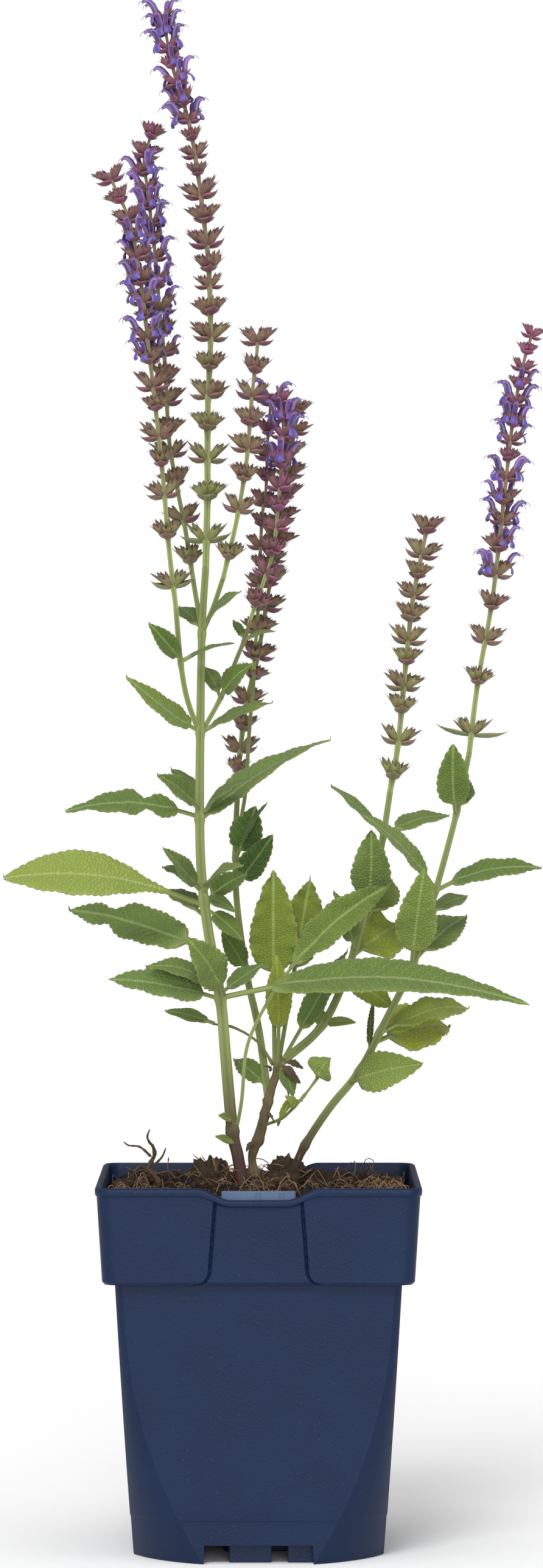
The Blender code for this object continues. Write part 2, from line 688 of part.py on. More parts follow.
def make_spike(name, points, half_foot, half_top, whorls, open_between, reach, parts, material):
    """A flower spike: a square rachis whose faces are drawn out into bracts and calyces."""
    line = smooth_line(points, 160)
    heights = line[:, 2]
    tangents = np.gradient(line, axis=0)

    def station(z):
        centre = np.array([np.interp(z, heights, line[:, k]) for k in range(3)])
        tangent = unit(np.array([np.interp(z, heights, tangents[:, k]) for k in range(3)]))
        share = (z - heights[0]) / (heights[-1] - heights[0])
        half = half_foot + (half_top - half_foot) * share
        return centre, tangent, half

    bm = bmesh.new()

    def ring_at(z):
        return [bm.verts.new(point) for point in square_ring(*station(z))]

    def band(low, high, faces=range(4)):
        for k in faces:
            bm.faces.new((low[k], low[(k + 1) % 4], high[(k + 1) % 4], high[k]))

    previous = ring_at(heights[0])
    bm.faces.new(previous[::-1])
    tips = list(whorls[1:]) + [heights[-1]]
    leafy = LEAFY_FEET.get(name)
    for number, (z, following) in enumerate(zip(whorls, tips)):
        room = following - z if following < heights[-1] else whorls[-1] - whorls[-2]
        size = min(1.0, max(0.55, room / 8.0))
        under, low, high = ring_at(z - 0.9 * size), ring_at(z), ring_at(z + 1.7 * size)
        band(previous, under)
        _, tangent, _ = station(z)
        side, back = square_frame(tangent)
        directions = (-back, side, back, -side)
        bract_faces = (1, 3) if (number + bool(leafy)) % 2 else (0, 2)
        bract_reach = leafy if leafy and number == 0 else reach * size * 0.95
        flowering = open_between[0] <= z <= open_between[1]
        for k in range(4):
            lower = [under[k], under[(k + 1) % 4], low[(k + 1) % 4], low[k]]
            upper = [low[k], low[(k + 1) % 4], high[(k + 1) % 4], high[k]]
            if k in bract_faces:
                make_bract(bm, lower, directions[k], tangent, size, bract_reach)
            else:
                bm.faces.new(lower)
            flower = flowering and k in bract_faces
            make_calyx(bm, upper, directions[k], tangent, size, reach * size * 0.85, flower)
        previous = high
    top = ring_at(heights[-1])
    band(previous, top)
    bm.faces.new(top)
    return object_from(name, bm, parts, material)


def make_clod(centre, radii, collection):
    """A clod of matted roots: a coarse ball, stretched to its three radii."""
    bm = bmesh.new()
    bmesh.ops.create_icosphere(bm, subdivisions=2, radius=1.0)
    bmesh.ops.scale(bm, vec=radii, verts=bm.verts)
    bmesh.ops.translate(bm, vec=centre, verts=bm.verts)
    return object_from("clod", bm, collection)


def make_soil(parts, cutters, material, stems):
    """The root ball and its lumpy top, with a plain hole for each stem, two clods and a twig."""
    rng = np.random.default_rng(SEED)
    inset = BODY_WALL + GAP
    ledge = COLLAR_BOTTOM + BODY_WALL
    rings = [
        body_ring(FLOOR_TOP + GAP, inset),
        body_ring(30.0, inset),
        body_ring(68.0, inset),
        rounded_square(body_half(ledge) - inset, BODY_CORNER_TOP - 1.0, ledge + GAP),
        collar_ring(ledge + 2.0, COLLAR_WALL + GAP + 0.5),
        collar_ring(SOIL_SIDE_TOP, COLLAR_WALL + GAP),
    ]
    outer = rounded_square(collar_half(SOIL_SIDE_TOP) - COLLAR_WALL - GAP, COLLAR_CORNER, 0)
    for scale in (0.92, 0.78, 0.62, 0.46, 0.3, 0.14):
        ring = []
        for x, y, _ in outer:
            x, y = x * scale, y * scale
            mound = 2.5 * math.exp(-((x - 49) ** 2 + (y + 5) ** 2) / 90)
            ring.append((x, y, SOIL_TOP + mound + rng.uniform(-1.0, 1.0)))
        rings.append(ring)
    bm = bmesh.new()
    loft(bm, rings)
    bmesh.ops.triangulate(bm, faces=bm.faces)
    soil = object_from("soil", bm, parts, material)
    inner_face = collar_half(TAB_TOP) - COLLAR_WALL
    cuts = [box(
        "tab_room", (-TAB_HALF - GAP, -inner_face - 3, TAB_TOP - 6 - GAP),
        (TAB_HALF + GAP, -inner_face + 1.2 + GAP, POT_HEIGHT + 9), cutters,
    )]
    for points, half in stems:
        x, y, z = points[0]
        cuts.append(cylinder("hole", (x, y), half * 1.42 + 1.0, z - GAP, POT_HEIGHT + 20, cutters))
    boolean(soil, "DIFFERENCE", cuts)
    loose = [make_stem("twig", TWIG, 0.9, 0.5, cutters, 5.0)]
    loose += [make_clod(centre, radii, cutters) for centre, radii in CLODS]
    boolean(soil, "UNION", loose)
    soil.data.materials.clear()
    soil.data.materials.append(material)
    return soil


def main():
    clear_scene()
    parts = make_collection("salvia_in_pot", False)
    cutters = make_collection("cutters", True)
    plastic = make_material("pot_plastic", (0.035, 0.065, 0.145), 0.45)
    peat = make_material("peat", (0.035, 0.02, 0.012), 0.95)
    green = make_material("leaf_green", (0.10, 0.19, 0.05), 0.6)
    calyx = make_material("calyx_purple", (0.16, 0.06, 0.10), 0.6)
    make_pot(parts, cutters, plastic)
    seats = [
        (MAIN_STEMS["main"][0], MAIN_STEMS["main"][1]),
        (REAR_STEMS["trunk"][0], REAR_STEMS["trunk"][1]),
        (RIGHT_STEMS["main"][0], RIGHT_STEMS["main"][1]),
    ]
    make_soil(parts, cutters, peat, seats)
    make_leafy_stem("stem_main", MAIN_STEMS, MAIN_LEAVES, parts, cutters, green)
    make_leafy_stem("stem_rear", REAR_STEMS, REAR_LEAVES, parts, cutters, green)
    make_leafy_stem("stem_right", RIGHT_STEMS, RIGHT_LEAVES, parts, cutters, green)
    for name, row in SPIKES.items():
        make_spike(name, *row, parts, calyx)


main()
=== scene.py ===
"""The looks of a perennial salvia in its square nursery pot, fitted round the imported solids.

Each section makes one group of pieces, from the ground up. Lengths are in millimetres until
add_piece turns them into metres.
"""

import math

import bmesh
import bpy
import numpy as np
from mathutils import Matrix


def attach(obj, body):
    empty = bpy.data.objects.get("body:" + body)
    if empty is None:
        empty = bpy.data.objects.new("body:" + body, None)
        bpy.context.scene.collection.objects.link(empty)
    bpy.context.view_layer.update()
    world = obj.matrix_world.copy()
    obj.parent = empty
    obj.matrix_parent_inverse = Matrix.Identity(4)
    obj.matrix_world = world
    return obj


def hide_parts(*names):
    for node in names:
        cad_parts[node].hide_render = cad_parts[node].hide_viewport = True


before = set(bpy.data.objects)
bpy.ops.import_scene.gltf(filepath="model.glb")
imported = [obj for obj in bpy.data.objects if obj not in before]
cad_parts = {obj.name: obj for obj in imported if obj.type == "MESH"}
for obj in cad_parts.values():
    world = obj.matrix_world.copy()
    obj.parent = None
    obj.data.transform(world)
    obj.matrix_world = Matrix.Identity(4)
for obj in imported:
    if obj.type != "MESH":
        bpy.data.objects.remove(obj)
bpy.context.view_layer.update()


# The pot is a square nursery pot of dark blue plastic, moulded in one piece with its deep collar.
# The front and back of the collar have a shallow bay between two flaps, and the lip dips over it.
# Its foot is notched on all four sides, with short panels and a square foot standing under the floor.
MM = 0.001
POT_HEIGHT = 129.0
COLLAR_BOTTOM = 96.0
COLLAR_HALF_FOOT = 53.0
COLLAR_HALF_TOP = 55.0
COLLAR_CORNER = 5.0
COLLAR_WALL = 1.8
BODY_HALF_FOOT = 43.25
BODY_HALF_TOP = 48.75
BODY_WALL = 1.3
FLOOR_UNDER = 6.8
FLOOR_TOP = 8.2
# The body's corners widen from this height down to the foot. The cut is the angle in degrees at
# which their arcs meet its flat sides.
CORNER_TOP = 2.5
CORNER_FOOT = 24.0
CORNER_WIDENS_BELOW = 85.0
CORNER_CUT = 24.0
NOTCH_HALF = 18.75
NOTCH_HEIGHT = 6.4
NOTCH_SQUEEZE_TOP = 12.0
FOOT_HALF = 12.0
PANEL_RUNS = ((-10, 4.4), (10, 19))
PANEL_INSIDE = 37.3
PANEL_OUTSIDE = 38.7
MIDDLE_HALF = 19.0
BAY_HALF_FOOT = 17.0
BAY_HALF_TOP = 15.2
BAY_SIDE = 23.0
BAY_CORNER = 4.4
BAY_DEPTH = 0.9
LIP_DIP = 4.0
LIP_DIP_HALF = 21.2
LIP_DIP_SHOULDER = 12.0
LIP_DIP_FOOT = 112.0
TAB_LOW = (-12.6, -53.3, 118.5)
TAB_HIGH = (12.6, -51.9, 128.0)
TAB_RIBS = (-0.9, 0.3, 7.1, 8.3)
NAVY_TONES = ((12, 29, 56), (23, 43, 72))
TAB_TONES = ((62, 78, 108), (92, 108, 136))
DUST_TONE = (120, 125, 135)


def smoothstep(value):
    """Rises from 0 to 1 with level ends: three times the square less twice the cube."""
    t = np.clip(value, 0.0, 1.0)
    return t * t * (3.0 - 2.0 * t)


def unit(vectors):
    """Each vector divided by its length."""
    return vectors / np.maximum(np.linalg.norm(vectors, axis=-1, keepdims=True), 1e-9)


def grid_shape(points, **marks):
    """A tube-like grid as points, quads and marks.

    Rows run along it, and the last column joins the first. A mark is a number for each point, or
    one number for all of them.
    """
    rows, columns = points.shape[:2]
    index = np.arange(rows * columns).reshape(rows, columns)
    right = np.roll(index, -1, axis=1)
    quads = np.stack([index[:-1], right[:-1], right[1:], index[1:]], axis=-1).reshape(-1, 4)
    full = {name: np.broadcast_to(value, (rows, columns)).ravel() for name, value in marks.items()}
    return {"points": points.reshape(-1, 3), "quads": quads, "marks": full}


def add_piece(name, shapes, material, nodes=(), crease=None):
    """Joins the shapes into one mesh in metres, merges its poles, and turns its faces outwards."""
    counts = [len(shape["points"]) for shape in shapes]
    starts = np.concatenate([[0], np.cumsum(counts)[:-1]])
    points = np.concatenate([shape["points"] for shape in shapes]) * MM
    quads = np.concatenate([shape["quads"] + start for shape, start in zip(shapes, starts)])
    mesh = bpy.data.meshes.new(name)
    mesh.from_pydata(points.tolist(), [], quads.tolist())
    for label in sorted({label for shape in shapes for label in shape["marks"]}):
        values = np.concatenate([
            np.asarray(shape["marks"].get(label, np.zeros(count)), float)
            for shape, count in zip(shapes, counts)
        ])
        mesh.attributes.new(label, "FLOAT", "POINT").data.foreach_set("value", values)
    bm = bmesh.new()
    bm.from_mesh(mesh)
    bmesh.ops.remove_doubles(bm, verts=bm.verts, dist=2e-6)
    bmesh.ops.recalc_face_normals(bm, faces=bm.faces)
    bm.to_mesh(mesh)
    bm.free()
    mesh.polygons.foreach_set("use_smooth", np.ones(len(mesh.polygons), bool))
    if crease:
        mesh.set_sharp_from_angle(angle=math.radians(crease))
    mesh.materials.append(material)
    piece = bpy.data.objects.new(name, mesh)
    bpy.context.scene.collection.objects.link(piece)
    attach(piece, "root")
    if nodes:
        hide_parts(*nodes)


def body_half(z):
    """Half width of the tapered body: a straight line from its foot to the collar."""
    return BODY_HALF_FOOT + (BODY_HALF_TOP - BODY_HALF_FOOT) * z / COLLAR_BOTTOM


def body_corner(z):
    """Radius of the body's corners: tight above, and wider by a power curve down to the foot."""
    fall = np.maximum(0.0, 1.0 - z / CORNER_WIDENS_BELOW)
    return CORNER_TOP + (CORNER_FOOT - CORNER_TOP) * fall ** 2.1


def collar_half(z):
    """Half width of the collar: a straight line from its foot to the rim."""
    share = (z - COLLAR_BOTTOM) / (POT_HEIGHT - COLLAR_BOTTOM)
    return COLLAR_HALF_FOOT + (COLLAR_HALF_TOP - COLLAR_HALF_FOOT) * share


def bay_edge(z):
    """Half width of the bay: nearly upright sides that turn outwards in a quarter circle below."""
    share = (z - COLLAR_BOTTOM - BAY_CORNER) / BAY_SIDE
    side = BAY_HALF_FOOT + (BAY_HALF_TOP - BAY_HALF_FOOT) * share
    turn = np.arcsin(np.clip(1.0 - (z - COLLAR_BOTTOM) / BAY_CORNER, 0.0, 1.0))
    return side + BAY_CORNER * (1.0 - np.cos(turn))


def lip_dip(x):
    """How far the lip sinks: the full dip in the middle, and half a cosine wave at each shoulder."""
    reach = np.clip((LIP_DIP_HALF - np.abs(x)) / LIP_DIP_SHOULDER, 0.0, 1.0)
    return LIP_DIP * (0.5 - 0.5 * np.cos(np.pi * reach))


def side_columns():
    """Places of the columns along one side and round the corner at its end.

    Each is a fixed place in the middle block, a share of the run from there to the corner, and an
    angle round the corner. They are closest at the sides of the notch and of the bay.
    """
    fine = np.concatenate([
        np.linspace(0.0, 13.6, 12), np.linspace(14.2, 18.0, 17), np.linspace(18.12, 19.0, 9)
    ])
    fixed = np.concatenate([-fine[::-1], fine[1:]])
    share = np.linspace(0.0, 1.0, 23)[1:] ** 1.15
    arc = np.radians(np.linspace(0.0, 90.0, 11)[1:-1])
    base = np.concatenate([
        np.full(len(share), -MIDDLE_HALF), fixed, np.full(len(share) + len(arc), MIDDLE_HALF)
    ])
    lean = np.concatenate([-share[::-1], np.zeros(len(fixed)), share, np.ones(len(arc))])
    turn = np.concatenate([np.zeros(len(base) - len(arc)), arc])
    return base, lean, turn


def pot_rings(z, half, corner, shrink=1.0, bay=0.0, top=True, foot=False, cut=0.0):
    """Rings of points round the pot. Each row has a height, a half width and a corner radius.

    A point is at the half width from the middle, or on the corner's arc, which meets the sides in a
    faint edge if it is cut. The upper rows sink with the dipped lip, the lower rows are squeezed
    over the notches, and the bay pushes the collar's face in, deepest in a groove along its edge.
    """
    z, half, corner, shrink = (
        np.broadcast_to(value, np.shape(z)).astype(float)[:, None]
        for value in (z, half, corner, shrink)
    )
    base, lean, turn = side_columns()
    first = math.radians(cut)
    bent = first + turn * (1.0 - 2.0 * cut / 90.0)
    round_by = corner / (math.cos(first) - math.sin(first))
    x = base + lean * (half - corner - MIDDLE_HALF) + round_by * (np.sin(bent) - math.sin(first))
    out = half + round_by * (np.cos(bent) - math.cos(first))
    sides = []
    for quarter in range(4):
        height, reach = np.broadcast_to(z, x.shape).copy(), out.copy()
        if quarter in (0, 2):
            if top:
                sink = (z - LIP_DIP_FOOT) / (POT_HEIGHT - LIP_DIP_FOOT)
                height -= lip_dip(x) * np.clip(sink, 0.0, 1.0)
            inward = bay_edge(height) - np.abs(x)
            groove = 1.0 + 0.7 * np.exp(-((inward - 0.5) / 0.4) ** 2)
            reach = reach - bay * groove * smoothstep(inward / 0.4 + 0.5)
        if foot:
            notch = NOTCH_HEIGHT * smoothstep((NOTCH_HALF - np.abs(x)) / 0.35)
            height = z + notch * np.clip(1.0 - z / NOTCH_SQUEEZE_TOP, 0.0, 1.0)
            reach = reach + (body_half(height) - body_half(z)) * (turn == 0.0)
        px, py = x * shrink, -reach * shrink
        for _ in range(quarter):
            px, py = -py, px
        sides.append(np.stack([px, py, height], axis=-1))
    return np.concatenate(sides, axis=1)


def pot_shell():
    """The whole moulding as one closed grid, from the inside of the floor over the lip to the foot.

    The collar stands out in a bead under its lip, the lip and both feet are rounded by smooth steps,
    and the body steps in a little near the ground.
    """
    z_in = np.array([FLOOR_TOP, FLOOR_TOP, 20, 40, 60, 80, 97.0])
    inside = pot_rings(
        z_in, body_half(z_in) - BODY_WALL, np.maximum(body_corner(z_in) - BODY_WALL, 1.0),
        np.array([0.0, 1, 1, 1, 1, 1, 1]), cut=CORNER_CUT,
    )
    z_up = np.array([98.3, 104, 110, 114, 118, 122, 124, 126, 127.5, 128.4, 128.8, POT_HEIGHT])
    tuck = COLLAR_WALL - 0.5 * smoothstep((z_up - 128.0) / 1.0)
    collar_inside = pot_rings(z_up, collar_half(z_up) - tuck, COLLAR_CORNER - tuck * 0.8)
    z_lip = [POT_HEIGHT, 128.85, 128.5, 128.0, 127.4, 126.8, 126.4, 126.0, 125.4, 124.4]
    z_down = np.concatenate([
        z_lip, np.arange(123, 102, -1.5), np.linspace(101.6, 96.6, 14), [96.3, 96.08, COLLAR_BOTTOM]
    ])
    bead = 0.5 * smoothstep((z_down - 125.9) / 0.7) - 0.9 * smoothstep((z_down - 128.2) / 0.8) ** 2
    round_foot = 0.7 * smoothstep((97.0 - z_down) / 1.0)
    bay = BAY_DEPTH * (1.0 - smoothstep((z_down - 125.6) / 0.8))[:, None]
    collar = pot_rings(z_down, collar_half(z_down) + bead - round_foot, COLLAR_CORNER, bay=bay)
    z_body = np.concatenate([
        [COLLAR_BOTTOM, 95.6, 95.0], np.arange(93, 16, -3.5), [15.4, 14.9, 14.6, 14.1, 13],
        np.linspace(11.0, 0.5, 10), [0.12, 0.0],
    ])
    step = 0.22 * smoothstep((15.0 - z_body) / 0.5) + 0.25 * smoothstep((0.4 - z_body) / 0.4)
    body = pot_rings(
        z_body, body_half(z_body) - step, body_corner(z_body), foot=True, top=False, cut=CORNER_CUT,
    )
    z_under = np.array([0.0, 0.15, 3.0])
    skirt = pot_rings(
        z_under, body_half(z_under) - BODY_WALL, body_corner(z_under) - BODY_WALL, foot=True,
        top=False, cut=CORNER_CUT,
    )
    z_floor = np.array([FLOOR_UNDER, FLOOR_UNDER])
    under = pot_rings(
        z_floor, body_half(z_floor) - BODY_WALL, body_corner(z_floor) - BODY_WALL,
        np.array([1.0, 0.0]), top=False, cut=CORNER_CUT,
    )
    return grid_shape(np.concatenate([inside, collar_inside, collar, body, skirt, under]))


def slab(low, high, corner, soft=0.25):
    """A block between two opposite corners, as six stacked rings, the first and last of them points.

    A ring is a rectangle drawn in by the corner radius, plus a circle of that radius. The rings at
    the two ends are smaller all round, so that the block's edges are soft.
    """
    low, high = np.array(low, float), np.array(high, float)
    middle, size = (low + high) / 2, (high - low) / 2
    angles = np.linspace(0, 2 * math.pi, 24, endpoint=False) + math.pi / 24
    turn = np.column_stack([np.cos(angles), np.sin(angles)])
    ring = np.sign(turn) * (size[:2] - corner) + turn * corner
    end = ring - np.sign(ring) * soft
    flat = np.stack([0.0 * ring, end, ring, ring, end, 0.0 * ring]) + middle[:2]
    height = np.array([low[2], low[2], low[2] + soft, high[2] - soft, high[2], high[2]])
    height = np.broadcast_to(height[:, None, None], (6, 24, 1))
    return grid_shape(np.concatenate([flat, height], axis=2))


def panel_blocks():
    """The square foot, and two short panels behind the notch of each side."""
    top = FLOOR_UNDER + 0.2
    blocks = [slab((-FOOT_HALF, -FOOT_HALF, 0), (FOOT_HALF, FOOT_HALF, top), 1.5)]
    for left, right in PANEL_RUNS:
        for quarter in range(4):
            block = slab((left, -PANEL_OUTSIDE, 0), (right, -PANEL_INSIDE, top), 0.3)
            for _ in range(quarter):
                x, y, z = block["points"].T
                block["points"] = np.column_stack([-y, x, z])
            blocks.append(block)
    return blocks


def label_tab():
    """The pale tab inside the front lip, with two pairs of fine ribs."""
    blocks = [slab(TAB_LOW, TAB_HIGH, 0.6)]
    for x in TAB_RIBS:
        blocks.append(slab((x, -53.55, 120.0), (x + 0.35, -53.1, 127.4), 0.1))
    return blocks


def add_node(tree, kind, inputs=None, **settings):
    """A shader node with its settings, and with each input set to a number or joined to an output."""
    made = tree.nodes.new(kind)
    for key, value in settings.items():
        setattr(made, key, value)
    for key, value in (inputs or {}).items():
        if isinstance(value, bpy.types.NodeSocket):
            tree.links.new(value, made.inputs[key])
        else:
            made.inputs[key].default_value = value
    return made


def maths(tree, operation, first, second=0.0, third=0.0):
    """The result of one sum on numbers or outputs."""
    inputs = {0: first, 1: second, 2: third}
    return add_node(tree, "ShaderNodeMath", inputs, operation=operation).outputs[0]


def linear(tone):
    """A tone as it looks on a screen, from 0 to 255, as linear numbers. An output stays as it is."""
    if isinstance(tone, bpy.types.NodeSocket):
        return tone
    return tuple((value / 255.0) ** 2.2 for value in tone) + (1.0,)


def blend(tree, share, first, second):
    """The first tone with a share of the second mixed in. Each may be an output."""
    inputs = {0: share, 6: linear(first), 7: linear(second)}
    return add_node(tree, "ShaderNodeMix", inputs, data_type="RGBA").outputs[2]


def mark(tree, name):
    """The value of one of the mesh's own marks."""
    return add_node(tree, "ShaderNodeAttribute", attribute_name=name).outputs["Fac"]


def object_place(tree):
    """The place of a point in the object's own coordinates."""
    return add_node(tree, "ShaderNodeTexCoord").outputs["Object"]


def start_material(name, roughness, specular, sheen=0.0):
    """A new material with its tree and its shader."""
    made = bpy.data.materials.new(name)
    made.use_nodes = True
    shader = made.node_tree.nodes["Principled BSDF"]
    shader.inputs["Roughness"].default_value = roughness
    shader.inputs["Specular IOR Level"].default_value = specular
    shader.inputs["Sheen Weight"].default_value = sheen
    return made, made.node_tree, shader


def add_bump(tree, shader, height, strength, distance):
    """Raises the surface's look by a height that changes over it."""
    inputs = {"Height": height, "Strength": strength, "Distance": distance}
    bump = add_node(tree, "ShaderNodeBump", inputs)
    tree.links.new(bump.outputs["Normal"], shader.inputs["Normal"])


def start_group(name, inputs, outputs):
    """A new node group for a shared effect, with the nodes where its numbers come in and go out."""
    tree = bpy.data.node_groups.new(name, "ShaderNodeTree")
    for way, labels in (("INPUT", inputs), ("OUTPUT", outputs)):
        for label in labels:
            tree.interface.new_socket(label, in_out=way, socket_type="NodeSocketFloat")
    return tree, tree.nodes.new("NodeGroupInput"), tree.nodes.new("NodeGroupOutput")


def spots_group():
    """Masks of soft blotches and of small scattered specks, from the object's own coordinates."""
    tree, come, leave = start_group(
        "blotches_and_specks", ("Blotch size", "Speck size"), ("Blotches", "Specks")
    )
    place = object_place(tree)
    cloud = add_node(tree, "ShaderNodeTexNoise", {
        "Vector": place, "Detail": 4.0, "Roughness": 0.6,
        "Scale": maths(tree, "DIVIDE", 1.0, come.outputs["Blotch size"]),
    })
    dots = add_node(tree, "ShaderNodeTexVoronoi", {
        "Vector": place, "Scale": maths(tree, "DIVIDE", 1.0, come.outputs["Speck size"]),
    })
    draw = add_node(tree, "ShaderNodeSeparateColor", {"Color": dots.outputs["Color"]}).outputs[0]
    chosen = maths(tree, "GREATER_THAN", draw, 0.86)
    dot = maths(tree, "LESS_THAN", dots.outputs["Distance"], 0.16)
    tree.links.new(cloud.outputs["Fac"], leave.inputs["Blotches"])
    tree.links.new(maths(tree, "MULTIPLY", chosen, dot), leave.inputs["Specks"])
    return tree


SPOTS = spots_group()


def spots(tree, blotch, speck):
    """The two masks of the group, for blotches and specks of these sizes in metres."""
    group = add_node(
        tree, "ShaderNodeGroup", {"Blotch size": blotch, "Speck size": speck}, node_tree=SPOTS
    )
    return group.outputs["Blotches"], group.outputs["Specks"]


def pot_plastic(name, dark, light):
    """Moulded plastic with a fine leathery grain and a faint film of dust."""
    material, tree, shader = start_material(name, 0.5, 0.22)
    cloud, speck = spots(tree, 0.022, 0.0016)
    base = blend(tree, cloud, dark, light)
    dusty = blend(tree, maths(tree, "MULTIPLY", speck, 0.08), base, DUST_TONE)
    tree.links.new(dusty, shader.inputs["Base Color"])
    place = object_place(tree)
    grain = add_node(tree, "ShaderNodeTexVoronoi", {"Vector": place, "Scale": 1500.0})
    grit = add_node(tree, "ShaderNodeTexNoise", {"Vector": place, "Scale": 900.0, "Detail": 3.0})
    height = maths(tree, "ADD", grain.outputs["Distance"], grit.outputs["Fac"])
    add_bump(tree, shader, height, 0.22, 0.00025)
    worn = maths(tree, "MULTIPLY_ADD", cloud, 0.22, 0.36)
    tree.links.new(worn, shader.inputs["Roughness"])
    return material


NAVY = pot_plastic("pot_navy_plastic", *NAVY_TONES)
TAB_BLUE = pot_plastic("tab_blue_grey_plastic", *TAB_TONES)
add_piece("nursery_pot", [pot_shell()] + panel_blocks(), NAVY, ("pot",), crease=14)
add_piece("label_tab", label_tab(), TAB_BLUE, crease=38)


# The soil is dark peat, full of pale roots, and stands a little under the rim. Six spongy clods lie
# in it, the largest two in front of the stems. A forked dead twig, loose crumbs and many bent fibres
# lie on it.
SOIL_TOP = 124.0
SOIL_HALF = 52.0
FIBRE_LIMIT = 51.3
CRUMB_LIMIT = 50.5
SKIRT_FOOT = 114.0
BALL_BELOW_WALL = 1.6
PEAT_TONES = ((10, 7, 7), (38, 28, 24))
PEAT_SPECK = (136, 106, 74)
ROOT_TONES = ((46, 30, 24), (176, 144, 110))
TWIG = ((-34, -6, 122), (-35, -7, 128), (-38, -8, 132), (-36, -9, 137), (-37, -10, 141))
TWIG_FORKS = (
    ((-37, -9, 136), (-41, -9, 139.5), (-45, -8, 140), (-47, -8, 141.5)),
    ((-37, -10, 140), (-38.5, -10, 143), (-37.5, -10, 146)),
    ((-36.5, -8.5, 133), (-33.5, -9, 136), (-32, -8, 139.5)),
    ((-37.5, -8, 131), (-41, -10, 133), (-43, -12, 131.5), (-46, -13, 133)),
    ((-35.5, -7.5, 130), (-31, -10, 131), (-28.5, -12, 129), (-25, -13, 131)),
)
# The middle and the radii of each clod. Roots grow out of the first two.
CLODS = (
    ((-16.5, -17, 128.5), (6.4, 5.5, 8.0)), ((9.5, -15, 128.5), (6.8, 6.0, 8.6)),
    ((3.0, -20, 125.5), (4.5, 4.0, 4.0)), ((47, -4, 124.0), (3.2, 5.0, 5.0)),
    ((-46, 8, 123.5), (4.0, 6.0, 3.5)), ((22, 24, 124.0), (7.0, 6.0, 4.5)),
)
# Patches of bent fibres: how many there are, how far they spread, their rise, their length, their
# radius, and the middle of the patch.
FIBRE_PATCHES = (
    (260, 50.0, 2.2, 13.0, 0.16, (0.0, 0.0)), (60, 50.0, 7.0, 22.0, 0.2, (0.0, 0.0)),
    (44, 9.0, 8.0, 18.0, 0.22, (43.0, -44.0)), (34, 8.0, 7.0, 16.0, 0.22, (-43.0, -43.0)),
    (30, 12.0, 6.0, 14.0, 0.2, (-4.0, -32.0)),
)
rng = np.random.default_rng(5)
LATTICE = rng.random((64, 64, 64))


def lumps(points, size):
    """Smooth random values from 0 to 1.

    A cubic lattice has a random number at each corner, and the eight corners round a point are
    blended smoothly.
    """
    scaled = np.asarray(points, float) / size + 1000.0
    cell = np.floor(scaled).astype(int)
    part = smoothstep(scaled - cell)
    total = 0.0
    for corner in range(8):
        step = np.array([corner & 1, corner >> 1 & 1, corner >> 2 & 1])
        weight = np.prod(np.where(step, part, 1.0 - part), axis=-1)
        i, j, k = np.moveaxis((cell + step) % 64, -1, 0)
        total = total + weight * LATTICE[i, j, k]
    return total


def soil_height(x, y):
    """Height of the peat: a low dome with rough lumps of four sizes, which falls away at its edge."""
    flat = np.stack([x, y, np.zeros_like(x)], axis=-1)
    rough = 5.0 * lumps(flat, 11.0) + 3.0 * lumps(flat, 4.6) + 1.9 * lumps(flat, 2.1)
    edge = np.maximum(np.abs(x), np.abs(y)) / SOIL_HALF
    return SOIL_TOP - 3.6 + rough + 0.9 * lumps(flat, 1.1) - 2.6 * edge ** 4


def with_border(grid, share, height):
    """The grid with one more ring of points: its edge's own, drawn in by the share, at the height."""
    wider = np.pad(grid, ((1, 1), (1, 1), (0, 0)), mode="edge")
    ring = np.ones(wider.shape[:2], bool)
    ring[1:-1, 1:-1] = False
    wider[ring] = wider[ring] * (share, share, 0.0) + (0.0, 0.0, height)
    return wider


def soil_top():
    """The rough top as a height over a square grid, with a skirt drawn in to one point below."""
    span = np.linspace(-1.0, 1.0, 151)
    a, b = np.meshgrid(span, span)
    shrink = SOIL_HALF * (1.0 - 0.028 * np.abs(a * b) ** 8)
    x, y = a * shrink, b * shrink
    top = np.stack([x, y, soil_height(x, y)], axis=-1)
    skirt = with_border(top, 1.0, SKIRT_FOOT)
    return grid_shape(with_border(skirt, 0.0, SKIRT_FOOT), fibre=0.0)


def root_ball():
    """The part hidden in the pot: rings that follow the inside of the wall."""
    z = np.array([8.6, 8.6, 30.0, 60.0, 94.0, 98.9, 100.0, 113.9, 113.9])
    in_body = z < COLLAR_BOTTOM
    half = np.where(in_body, body_half(z) - BALL_BELOW_WALL, collar_half(z) - 2.2)
    half[5] = body_half(97.0) - BALL_BELOW_WALL
    corner = np.where(in_body, np.maximum(body_corner(z) - BALL_BELOW_WALL, 1.5), 4.0)
    shrink = np.array([0.0, 1, 1, 1, 1, 1, 1, 1, 0.0])
    return grid_shape(pot_rings(z, half, corner, shrink, top=False, cut=CORNER_CUT), fibre=0.0)


def ball(centre, radii, rows, columns, bumpiness=0.0):
    """A ball of rings from pole to pole, its radius varied by smooth random lumps."""
    up = np.linspace(-math.pi / 2, math.pi / 2, rows)[:, None]
    turn = np.linspace(0, 2 * math.pi, columns, endpoint=False)[None]
    sphere = np.stack([
        np.cos(up) * np.cos(turn), np.cos(up) * np.sin(turn), np.sin(up) * np.ones_like(turn)
    ], axis=-1)
    place = np.array(centre) + sphere * radii
    swell = sum((lumps(place, size) - 0.5) * by for size, by in ((3.1, 0.9), (1.3, 0.7), (0.7, 0.35)))
    grow = 1.0 + bumpiness * swell
    grow[0], grow[-1] = grow[0].mean(), grow[-1].mean()
    return grid_shape(np.array(centre) + sphere * grow[..., None] * radii, fibre=0.12)


